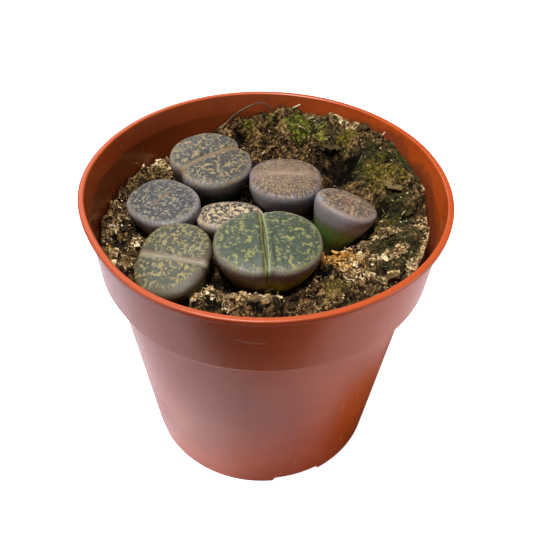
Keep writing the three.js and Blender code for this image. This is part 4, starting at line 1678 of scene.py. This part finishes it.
@dataclass
class Litter:
    """Many small bits of one kind on the peat: modelled a few times, then copied.

    size gives the smallest and largest bit. sunk is the share of a bit's size that lies below
    the surface, and flat how closely bits follow it. bare is the chance of a bit where no
    cover of the wanted kinds grows.
    """

    name: str
    bit: Bit
    finish: Grain
    count: int
    size: tuple[float, float]
    seed: int
    kinds: tuple[Peat, ...] = ()
    bare: float = 1.0
    avoid: tuple[Peat, ...] = ()
    sunk: float = 0.15
    flat: float = 0.6
    spots: tuple[Place, ...] = ()

    VARIANTS = 5
    TRIES = 10
    FAVOUR_SMALL = 2.2
    REACH = 49.5
    EDGE = 0.35
    LIFTS = {Bit.SHOOT: -0.1, Bit.FLAKE: 0.3, Bit.FIBRE: 0.3}

    def chance(self, bed: PeatBed, x: Points, y: Points) -> Points:
        """Gives the chance that a bit lies at each point.

        Args:
            bed: The peat that the bits lie on.
            x: First coordinate of each point.
            y: Second coordinate of each point.

        Returns:
            The chances.
        """
        want = np.full_like(x, self.bare)
        for kind in self.kinds:
            want = np.maximum(want, smoothstep(0.2, 0.85, bed.patch(kind, x, y)))
        for kind in self.avoid:
            want = want * (1 - smoothstep(0.15, 0.6, bed.patch(kind, x, y)))
        for at_x, at_y, reach in self.spots:
            away = ((x - at_x) ** 2 + (y - at_y) ** 2) / reach ** 2
            want = np.maximum(want, np.exp(-away))
        return want

    def build(self, bed: PeatBed) -> Piece:
        """Strews the bits over the peat as one piece.

        Args:
            bed: The peat that they lie on.

        Returns:
            The finished piece.
        """
        rng = np.random.default_rng(self.seed)
        tries = self.count * self.TRIES
        radius = self.REACH * np.sqrt(rng.random(tries))
        angle = rng.uniform(-math.pi, math.pi, tries)
        small, large = self.size
        size = small + (large - small) * rng.random(tries) ** self.FAVOUR_SMALL
        luck = rng.random(tries)
        x, y = radius * np.cos(angle), radius * np.sin(angle)
        fits = radius < bed.edge_radius(angle) - self.EDGE - size * 0.5
        fits &= luck < self.chance(bed, x, y)
        x, y, size = x[fits], y[fits], size[fits]
        places = np.column_stack([x, y, bed.height(x, y)])
        clear = bed.to_plants(places) > size * 0.45
        return self.copy_out(bed, rng, places[clear][:self.count], size[clear][:self.count])

    def copy_out(self, bed: PeatBed, rng: np.random.Generator, places: Points,
                 size: Points) -> Piece:
        """Copies the models to their places and joins them in one mesh.

        Args:
            bed: The peat that they lie on.
            rng: Source of the chance turns and tones.
            places: Each bit's place on the surface.
            size: Each bit's size.

        Returns:
            The finished piece.
        """
        models = [BitModel.make(self.bit, variant) for variant in range(self.VARIANTS)]
        gap = 0.4
        x, y, z = places.T
        slope_x = (bed.height(x + gap, y) - z) / gap
        slope_y = (bed.height(x, y + gap) - z) / gap
        ups = np.column_stack([-slope_x, -slope_y, np.ones_like(x)])
        ups[:, :2] = np.clip(ups[:, :2], -1.2, 1.2) * self.flat
        ups += (1 - self.flat) * rng.normal(0, 0.8, ups.shape)
        ups /= np.linalg.norm(ups, axis=1)[:, None]
        spins = rng.uniform(0, 2 * math.pi, len(places))
        tones = rng.random(len(places))
        lifts = ups * (size * (0.5 - self.sunk) * self.LIFTS.get(self.bit, 0.7))[:, None]
        points, faces, shades, start = [], [], [], 0
        for index, (place, width) in enumerate(zip(places, size)):
            model = models[index % self.VARIANTS]
            turn = Vector(ups[index]).to_track_quat("Z", "Y").to_matrix()
            turn = turn @ Matrix.Rotation(spins[index], 3, "Z")
            points.append(model.points @ np.array(turn).T * width + (place + lifts[index]))
            faces.extend(tuple(start + corner for corner in face) for face in model.faces)
            shades.append(np.full(len(model.points), tones[index]))
            start += len(model.points)
        mesh = bpy.data.meshes.new(self.name)
        mesh.from_pydata((np.vstack(points) * MM).tolist(), [], faces)
        obj = link_new(self.name, mesh)
        write_values(obj, "tone", np.concatenate(shades))
        if self.bit is not Bit.FLAKE:
            pick(obj)
            bpy.ops.object.shade_smooth()
        return dress(obj, self.finish.material(), self.finish.slot)


@dataclass(frozen=True)
class Scrap:
    """One crumpled scrap of crust or bark, placed on the peat.

    lift raises it, curl bends it up along its length, and stand tips it up on its long edge.
    """

    x: float
    y: float
    length: float
    width: float
    turn: float
    lift: float
    curl: float
    stand: float
    tone: float
    seed: int


@dataclass
class Scraps:
    """A handful of larger scraps on the peat, joined in one piece."""

    name: str
    finish: Grain
    scraps: tuple[Scrap, ...]
    thickness: float
    crumple: float
    ribs: float = 0.0
    columns: int = 22
    lanes: int = 14

    def build(self, bed: PeatBed) -> Piece:
        """Shapes each scrap, joins them and dresses the piece.

        Args:
            bed: The peat that they lie on.

        Returns:
            The finished piece.
        """
        pick(*(self.shape(bed, scrap) for scrap in self.scraps))
        bpy.ops.object.join()
        return dress(newest(self.name), self.finish.material(), self.finish.slot)

    def shape(self, bed: PeatBed, scrap: Scrap) -> Piece:
        """Crumples one sheet, gives it a thickness and lays it in its place.

        Args:
            bed: The peat that it lies on.
            scrap: Its size, shape and place.

        Returns:
            The scrap.
        """
        pick()
        bpy.ops.mesh.primitive_grid_add(x_subdivisions=self.columns, y_subdivisions=self.lanes,
                                        size=1.0)
        obj = newest(self.name + "_scrap")
        u, v, _ = points_of(obj).T
        turn = np.arctan2(v, u) / math.pi * 4
        half = np.full_like(u, 0.5)
        ragged = 0.78 + 0.2 * lumps(turn, half, 1.0, scrap.seed)
        ragged = ragged + 0.18 * lumps(turn, half, 0.35, scrap.seed + 5)
        corner = np.maximum(np.abs(u), np.abs(v)) / np.maximum(np.hypot(u, v), 1e-6)
        pull = ragged * (1 - (1 - corner) * 0.75)
        x, y = u * pull * scrap.length, v * pull * scrap.width
        z = self.crumple * lumps(x + 9, y, 1.5, scrap.seed + 2)
        z = z + self.crumple * 0.5 * lumps(x, y + 9, 0.7, scrap.seed + 3)
        z = z + scrap.curl * (2 * u) ** 2 * scrap.length * 0.12
        z = z + scrap.curl * (2 * v) ** 2 * scrap.width * 0.16
        z = z + self.ribs * np.abs(np.sin(y * 4.2 + 0.6 * lumps(x, y, 2.0, scrap.seed)))
        stand = math.radians(scrap.stand)
        local = spun(np.column_stack([x, y, z]), (math.radians(scrap.turn), "Z"), (stand, "X"))
        ground = float(bed.mounded(np.array([scrap.x]), np.array([scrap.y]))[0])
        low = scrap.width * 0.5 * math.sin(stand) * 0.55
        move_points(obj, (local + (scrap.x, scrap.y, ground + scrap.lift + low)) * MM)
        write_values(obj, "tone", np.clip(scrap.tone + 0.22 * lumps(x, y, 0.9, scrap.seed), 0, 1))
        apply_modifier(obj, "SOLIDIFY", thickness=self.thickness * MM, offset=0.0)
        bpy.ops.object.shade_smooth()
        return obj


@dataclass
class DryStrand:
    """A dry root or straw that stands in the peat, round and uneven along its line.

    knots swell it, each by its place and reach as shares of the length and by its growth.
    """

    node: str
    finish: Grain
    line: tuple[Place, ...]
    radius: float
    knots: tuple[Place, ...] = ()
    taper: float = 0.25
    wrinkle: float = 0.18
    sectors: int = 12
    rows: int = 96
    seed: int = 3

    def build(self) -> Piece:
        """Rolls a sheet up round the line and dresses it.

        Returns:
            The finished strand.
        """
        obj, row, angle = sheet_blank(self.node + "_strand", self.sectors, self.rows)
        line = curve_through(self.line, 10)
        run = length_along(line)
        share = row / self.rows
        behind, place, ahead = (
            np.column_stack([np.interp(share * run[-1] + shift, run, line[:, k])
                             for k in range(3)]) for shift in (-0.3, 0.0, 0.3))
        along = ahead - behind
        along /= np.linalg.norm(along, axis=1)[:, None]
        side = np.cross(along, (0.0, 1.0, 0.2))
        side /= np.linalg.norm(side, axis=1)[:, None]
        over = np.cross(side, along)
        radius = self.radius * (1 - self.taper * share)
        radius = radius * (1 + self.wrinkle * lumps(share * run[-1], angle, 1.1, self.seed))
        for at, reach, grow in self.knots:
            radius = radius * (1 + grow * np.exp(-(((share - at) / reach) ** 2)))
        radius = radius * np.sqrt(np.clip(np.minimum(share, 1 - share) * 40, 0, 1))
        points = place + radius[:, None] * (np.cos(angle)[:, None] * side
                                            + np.sin(angle)[:, None] * over)
        move_points(obj, points * MM)
        tones = 0.5 + 0.4 * lumps(share * 14, angle, 1.0, self.seed)
        write_values(obj, "tone", np.clip(tones, 0, 1))
        close_up(obj)
        return dress(obj, self.finish.material(), self.finish.slot, self.node)


# The studio


@dataclass(frozen=True)
class Softbox:
    """A square soft light that points at the pot."""

    name: str
    place: Place
    size: float
    power: float
    colour: Colour

    AIM = (0.0, 0.0, 60.0)

    def build(self) -> None:
        """Adds the light."""
        data = bpy.data.lights.new(self.name, "AREA")
        data.shape = "SQUARE"
        data.size = self.size * MM
        data.energy = self.power
        data.color = self.colour
        lamp = link_new(self.name, data)
        lamp.location = place = Vector(self.place) * MM
        lamp.rotation_euler = (Vector(self.AIM) * MM - place).to_track_quat("-Z", "Y").to_euler()


@dataclass
class Studio:
    """A plain white floor, soft lights and the camera at the photograph's viewing angle."""

    camera_place: Place = (0.83, -167.0, 215.9)
    camera_target: Place = (0.83, 0.0, 62.8)
    camera_roll: float = 1.39
    focal_pixels: float = 723.3
    image_pixels: int = 533
    sensor: float = 36.0
    surround: Colour = (0.93, 0.95, 1.0)
    surround_strength: float = 0.09
    surround_seen: float = 1.05
    floor_width: float = 6000.0
    paper: tuple[Colour, Colour] = ((0.9, 0.83, 0.93), (0.86, 0.79, 0.89))
    dark_front_edge: tuple[float, float] = (-95.0, -64.0)
    beyond: Colour = (0.07, 0.06, 0.055)
    shadow: Colour = (0.22, 0.16, 0.08)
    lights: tuple[Softbox, ...] = (
        Softbox("top_light", (-158.0, -106.0, 1045.0), 270.0, 13.0, (1.0, 0.985, 0.96)),
        Softbox("back_light", (-190.0, 480.0, 400.0), 320.0, 0.8, (0.95, 0.97, 1.0)),
        Softbox("right_light", (430.0, -130.0, 64.0), 120.0, 0.6, (1.0, 0.86, 0.66)),
    )

    def build(self) -> None:
        """Builds the floor, the lights, the surroundings and the camera."""
        self.build_floor()
        self.build_surround()
        for light in self.lights:
            light.build()
        self.build_camera()

    def build_floor(self) -> None:
        """Lays the floor, which glows white for the camera; other rays see a painted shadow, a
        painted pool of light and a dark band in front.
        """
        pick()
        bpy.ops.mesh.primitive_plane_add(size=self.floor_width * MM, location=(0, 0, 0))
        floor = newest("studio_floor")
        material, g = new_material("white_paper")
        place = g.place()
        x, y = g.axis(place, "X"), g.axis(place, "Y")

        def spot(middle: Place, outer: float, inner: float) -> Value:
            """Masks a round spot of the floor."""
            away = g.vector("LENGTH", g.vector("SUBTRACT", place, middle))
            return g.step(away, outer * MM, inner * MM)

        fibre = g.noise(place, 700.0, 3.0, 0.6)
        colour = g.mix(fibre * 0.5, *self.paper)
        # Painted shadow of the pot on the floor to its right, strongest in a spot beside its
        # foot, seen in reflections
        dull = g.math("MAXIMUM", g.step(x, -20 * MM, 50 * MM) * 0.22,
                      spot((0.04, -0.012, 0.0), 36, 12) * 0.92)
        colour = g.mix(dull, colour, self.shadow)
        # The floor turns dark in front beyond a curved edge, seen only in reflections
        near, far = (edge * MM for edge in self.dark_front_edge)
        colour = g.mix(g.step(y + x * x * 2.5, near, far), self.beyond, colour)
        seen = g.add("LightPath", {}, "Is Camera Ray")
        # Painted pool of light: a spot at the pot's front left glows for rays other than the
        # camera's, which sees the whole floor glow white
        glow = g.math("MAXIMUM", seen, spot((-0.026, -0.032, 0.0), 28, 8) * 0.38)
        g.surface(colour, 0.9, fibre, 0.02, Emission_Color=(1.0, 1.0, 1.0),
                  Emission_Strength=glow)
        floor.data.materials.append(material)

    def build_surround(self) -> None:
        """Sets the pale surroundings, which the camera sees brighter than the light they give."""
        world = bpy.data.worlds.new("studio_surround")
        world.use_nodes = True
        bpy.context.scene.world = world
        g = Graph(world.node_tree)
        seen = g.add("LightPath", {}, "Is Camera Ray")
        strength = g.blend(seen, self.surround_strength, self.surround_seen)
        back = g.add("Background", {"Color": self.surround, "Strength": strength}, "Background")
        g.put(g.node("OutputWorld").inputs["Surface"], back)
        bpy.context.scene.view_settings.view_transform = "Standard"

    def build_camera(self) -> None:
        """Sets the camera up where the photograph was taken from."""
        data = bpy.data.cameras.new("photo_camera")
        data.sensor_width = self.sensor
        data.sensor_fit = "HORIZONTAL"
        data.lens = self.focal_pixels / self.image_pixels * self.sensor
        data.clip_start = 0.01
        data.dof.use_dof = False
        camera = link_new("photo_camera", data)
        place, target = Vector(self.camera_place) * MM, Vector(self.camera_target) * MM
        ahead = (target - place).normalized()
        right = ahead.cross(Vector((0, 0, 1))).normalized()
        up = right.cross(ahead)
        roll = math.radians(self.camera_roll)
        turned = math.cos(roll) * right + math.sin(roll) * up
        upward = math.cos(roll) * up - math.sin(roll) * right
        matrix = Matrix((turned, upward, -ahead)).transposed().to_4x4()
        matrix.translation = place
        camera.matrix_world = matrix
        bpy.context.scene.camera = camera


# The clump


def clump() -> list[LivingStone]:
    """Lists the seven plants in their places, each with its furrows and its skin."""
    return [
        LivingStone(
            "living_stone_back_left", -17.0, 19.3, 4.0, 6, -60, 36, 12.1, 12.8, 0.12,
            (Furrow(-13.2, 13.2, 1.6, 0.3, 0.5), Furrow(-10.5, 11.5, 0.4, 0.4, 0.5)),
            LeafSkin("grey_green", (
                (62, 64, 61), (76, 73, 70), (164, 142, 102), (148, 132, 100), (138, 131, 131),
                (132, 126, 131), (98, 88, 84), (40, 40, 24), (72, 134, 34), (122, 104, 80),
                (132, 114, 86), (142, 106, 68)), size=1.1, cover=0.6, seed=1.0, haze=0.2,
                glow_heading=-140.0, glow_share=0.95, glow_from=3.4, cleft_from=-13.0,
                cleft_to=13.0, core_half=0.2),
            bow=0.3, waver=0.4, seed=11, gather=0.8),
        LivingStone(
            "living_stone_left", -30.1, 0.8, 7.0, 8, 200, 50.6, 9.5, 11.5, 0.01,
            (Furrow(-4.0, 4.0, 0.7, 0.2, 0.25),),
            LeafSkin("purple_grey", (
                (56, 56, 60), (67, 64, 66), (152, 142, 114), (138, 130, 112), (146, 141, 146),
                (139, 135, 146), (106, 99, 106), (54, 46, 38), (60, 62, 30), (122, 98, 84),
                (126, 102, 86), (118, 84, 62)), size=1.06, cover=0.56, seed=2.0, haze=0.2,
                cleft_from=-3.4, cleft_to=3.4, cleft_half=0.55, core_half=0.2),
            bow=0.4, seed=12),
        LivingStone(
            "living_stone_back", 5.9, 11.0, 4.5, 4, 90, 1.5, 11.1, 11.4, 0.03,
            (Furrow(-7.0, 7.0, 2.2, 0.0, 0.2),),
            LeafSkin("tan", (
                (64, 52, 41), (80, 65, 55), (154, 130, 98), (152, 130, 110), (139, 135, 143),
                (134, 130, 140), (104, 97, 102), (54, 46, 42), (60, 62, 30), (160, 134, 115),
                (166, 140, 122), (186, 160, 144)), marking=Marking.BRAIN, size=0.8, cover=0.6,
                seed=3.0, haze=0.15, cleft_from=-5.0, cleft_to=5.0, cleft_half=0.55,
                core_half=0.0, flush=0.4, window_edge=-0.9),
            bow=0.2, seed=13),
        LivingStone(
            "living_stone_right", 24.1, -0.3, 5.5, 22, 35, 60, 9.4, 9.2, 0.01,
            (Furrow(-2.6, 2.6, 0.5, 0.3, 0.3),),
            LeafSkin("pink_grey", (
                (80, 70, 64), (96, 85, 82), (176, 148, 110), (160, 136, 112), (142, 135, 140),
                (160, 154, 158), (126, 127, 102), (44, 62, 18), (98, 142, 54), (148, 118, 104),
                (156, 126, 112), (150, 84, 60)), size=0.9, cover=0.76, seed=4.0, haze=0.15,
                glow_heading=170.0, glow_share=0.9, glow_from=3.5, cleft_from=-2.0,
                cleft_to=2.0, cleft_half=0.5, core_half=0.22, flush=0.12),
            seed=14),
        LivingStone(
            "living_stone_middle", -10.1, -2.1, 9.4, 3, 90, -87, 7.1, 9.9, 0.01,
            (Furrow(-5.4, 1.4, 0.5, 0.3, 0.3),),
            LeafSkin("brown", (
                (60, 60, 52), (74, 66, 60), (212, 192, 154), (198, 172, 140), (156, 142, 132),
                (120, 112, 110), (88, 80, 68), (44, 40, 22), (60, 62, 30), (160, 126, 98),
                (164, 132, 104), (202, 184, 168)), cover=0.72, seed=5.0, haze=0.1,
                cleft_from=-5.2, cleft_to=1.2, cleft_half=0.35, core_half=0.13),
            seed=15),
        LivingStone(
            "living_stone_front_left", -24.6, -23.2, 8.0, 17, -115, -14, 10.3, 12.2, 0.04,
            (Furrow(-11.0, 11.0, 1.9, 0.2, 0.35), Furrow(-7.5, 8.3, 0.3, 0.3, 0.4)),
            LeafSkin("olive", (
                (66, 69, 55), (78, 77, 63), (160, 144, 92), (146, 136, 96), (86, 77, 58),
                (72, 60, 42), (60, 47, 26), (38, 40, 18), (64, 120, 22), (138, 128, 106),
                (142, 124, 106), (152, 150, 122)), size=1.05, cover=0.62, seed=6.0, haze=0.15,
                glow_heading=20.0, glow_share=0.9, glow_from=3.6, cleft_from=-11.5,
                cleft_to=11.5, cleft_half=1.0, core_half=0.2),
            bow=-0.3, lip=0.1, slip=4.0, slip_heading=-42.0, seed=16, gather=0.8),
        LivingStone(
            "living_stone_front", 1.2, -19.2, 4.0, 7, -80, -84, 12.0, 14.9, 0.07,
            (Furrow(-12.8, 13.0, 1.4, 0.4, 0.5), Furrow(-7.0, 9.0, 0.5, 0.5, 2.6)),
            LeafSkin("dark_green", (
                (58, 72, 54), (70, 79, 65), (150, 145, 86), (136, 136, 84), (134, 128, 120),
                (112, 98, 86), (80, 60, 36), (44, 62, 14), (158, 156, 34), (134, 124, 72),
                (138, 148, 114), (30, 50, 20)), size=1.08, cover=0.52, seed=7.0, haze=0.3,
                glow_heading=50.0, glow_share=1.0, glow_from=0.3, cleft_from=-13.0,
                cleft_to=16.0, cleft_half=0.9, core_half=0.24, window_edge=-1.6),
            bow=0.2, offset=-1.2, waver=0.2, lip=0.22, seed=17, gather=0.85),
    ]


def litter() -> list[Litter]:
    """Lists the small bits that lie on the peat."""
    soil = Grain("soil_crumbs", ((11, 7, 4), (36, 25, 15), (70, 50, 29), (112, 86, 50)))
    pale = Grain("pale_crumbs", ((132, 100, 58), (212, 182, 130), (240, 222, 182)))
    bark = Grain("bark_flakes", ((48, 32, 18), (94, 70, 42), (150, 120, 76)))
    stone = Grain("white_grit", ((166, 156, 138), (208, 202, 190), (232, 228, 218)))
    moss = Grain("moss_green", ((84, 92, 28), (136, 146, 44), (168, 170, 66)), roughness=0.8)
    olive = Grain("moss_olive", ((76, 68, 24), (144, 126, 42), (184, 162, 70)), roughness=0.8)
    dull = Grain("moss_dull", ((38, 36, 19), (72, 68, 36), (110, 100, 58)))
    ochre = Grain("ochre_crumbs", ((150, 96, 38), (206, 150, 68), (226, 186, 120)))
    straw = Grain("dry_fibre", ((96, 74, 48), (150, 122, 84), (196, 172, 128)))
    root = Grain("dark_fibre", ((26, 18, 12), (56, 42, 28), (92, 74, 50)))
    green, crust, tan = (Peat.MOSS, Peat.OLIVE, Peat.ALGAE), (Peat.CRUST,), (Peat.TAN,)
    painted_shade = (Peat.PAINTED_SHADE,)
    return [
        Litter("soil_crumbs", Bit.CLOD, soil, 7600, (0.25, 1.25), 101, avoid=green + tan + painted_shade,
               sunk=0.3),
        Litter("pale_crumbs", Bit.CLOD, pale, 4800, (0.2, 1.0), 102, crust, 0.035, painted_shade),
        Litter("ochre_crumbs", Bit.CLOD, ochre, 1500, (0.3, 1.3), 109, tan, 0.0),
        Litter("ochre_flakes", Bit.FLAKE, ochre, 260, (1.0, 2.7), 111, tan, 0.0, sunk=0.2),
        Litter("crust_flakes", Bit.FLAKE, pale, 1300, (0.6, 2.4), 112, crust, 0.0, painted_shade,
               sunk=0.2, flat=0.45),
        Litter("bark_flakes", Bit.FLAKE, bark, 1500, (0.5, 1.9), 103, crust, 0.3,
               (Peat.MOSS, Peat.PAINTED_SHADE), sunk=0.3, flat=0.5),
        Litter("white_grit", Bit.PEBBLE, stone, 64, (0.6, 1.9), 104, bare=0.004,
               spots=((-36.4, 28.7, 4.0), (-33.6, 31.5, 3.0), (-44.5, -4.0, 2.5))),
        Litter("moss_green", Bit.SHOOT, moss, 1900, (0.5, 1.2), 105, (Peat.MOSS,), 0.0,
               sunk=0.3, flat=0.7),
        Litter("moss_olive", Bit.SHOOT, olive, 3200, (0.45, 1.2), 106, (Peat.OLIVE,), 0.0,
               sunk=0.3, flat=0.7),
        Litter("moss_dull", Bit.SHOOT, dull, 5200, (0.4, 1.2), 107, green, 0.08, painted_shade, sunk=0.3),
        Litter("dry_fibres", Bit.FIBRE, straw, 900, (1.0, 4.6), 108, bare=0.5, flat=0.7),
        Litter("dark_fibres", Bit.FIBRE, root, 2400, (0.8, 4.2), 110, flat=0.55),
    ]


def scraps() -> list[Scraps]:
    """Lists the larger scraps of crust and bark on the peat."""
    crust = Grain("pale_crust", ((104, 80, 52), (160, 134, 98), (204, 182, 146)))
    bark = Grain("dark_bark", ((48, 36, 22), (92, 76, 46), (136, 116, 76)))
    plates = ((37.6, 5.8, 8.4, 2.8, -20, 1.5, 0.15, 10, 0.8, 31),
              (35.2, -23.4, 5.4, 2.0, 18, 1.0, 0.3, 12, 0.55, 32),
              (20.5, 29.6, 7.5, 2.2, -6, 1.6, 0.1, 5, 0.35, 33),
              (31.0, 34.0, 4.0, 2.4, 40, 1.2, 0.2, 15, 0.3, 34))
    straws = ((2.8, -27.9, 6.6, 0.7, 37, 1.5, 0.1, 10, 0.75, 41),
              (46.2, 6.2, 3.4, 0.6, 100, 1.4, 0.1, 10, 0.95, 42),
              (14.4, 42.6, 3.0, 0.6, 35, 2.0, 0.1, 10, 0.8, 43),
              (-1.0, 33.5, 3.2, 0.6, 70, 1.2, 0.1, 10, 0.7, 44),
              (36.4, 28.5, 3.0, 0.6, 60, 1.4, 0.1, 10, 0.7, 45),
              (40.0, -2.0, 4.0, 0.5, 60, 1.2, 0.1, 10, 0.6, 46),
              (-43.0, -6.6, 2.6, 0.6, -70, 1.2, 0.1, 10, 0.9, 47))
    return [
        Scraps("bark_plates", bark, tuple(Scrap(*row) for row in plates), 0.5, 0.22, ribs=0.3),
        Scraps("straw_bits", crust, tuple(Scrap(*row) for row in straws), 0.3, 0.12),
    ]


def strands() -> list[DryStrand]:
    """Lists the two strands that stand in the peat at the back."""
    root = Grain("dry_root", ((58, 48, 38), (96, 82, 64), (148, 128, 100)), "dry_straw",
                 relief=0.08)
    straw = Grain("dry_straw", ((168, 146, 106), (198, 178, 136), (214, 196, 158)), "dry_straw",
                  relief=0.05)
    return [
        DryStrand("dry_root", root, (
            (-16.8, 45.2, 82.9), (-14.7, 45.6, 85.3), (-11.0, 46.3, 89.0), (-6.6, 46.8, 91.9),
            (-3.3, 47.1, 93.2), (-1.2, 47.2, 93.0), (0.4, 47.2, 92.2), (1.5, 47.2, 90.6),
            (1.9, 47.2, 88.3)), 0.4,
            knots=((0.06, 0.06, 1.0), (0.3, 0.05, 0.5), (0.42, 0.04, 0.35)), taper=0.6),
        DryStrand("straw", straw, (
            (3.6, 45.5, 88.9), (5.4, 46.0, 90.2), (7.7, 46.8, 91.4), (10.9, 47.6, 92.9)), 0.45,
            taper=0.3, wrinkle=0.1, rows=40),
    ]


def main() -> None:
    """Builds the pot, the plants, the peat with what lies on it, the strands and the studio."""
    logging.basicConfig(level=logging.INFO, format="%(relativeCreated)6d ms  %(message)s")
    plants, pot = clump(), NurseryPot(PotPlastic())
    bed = PeatBed(plants, PeatCrust(), pot)
    for piece in (pot, *plants, bed):
        piece.build()
    for layer in (*litter(), *scraps()):
        layer.build(bed)
    for strand in strands():
        strand.build()
    Studio().build()


if __name__ == "__main__":
    main()
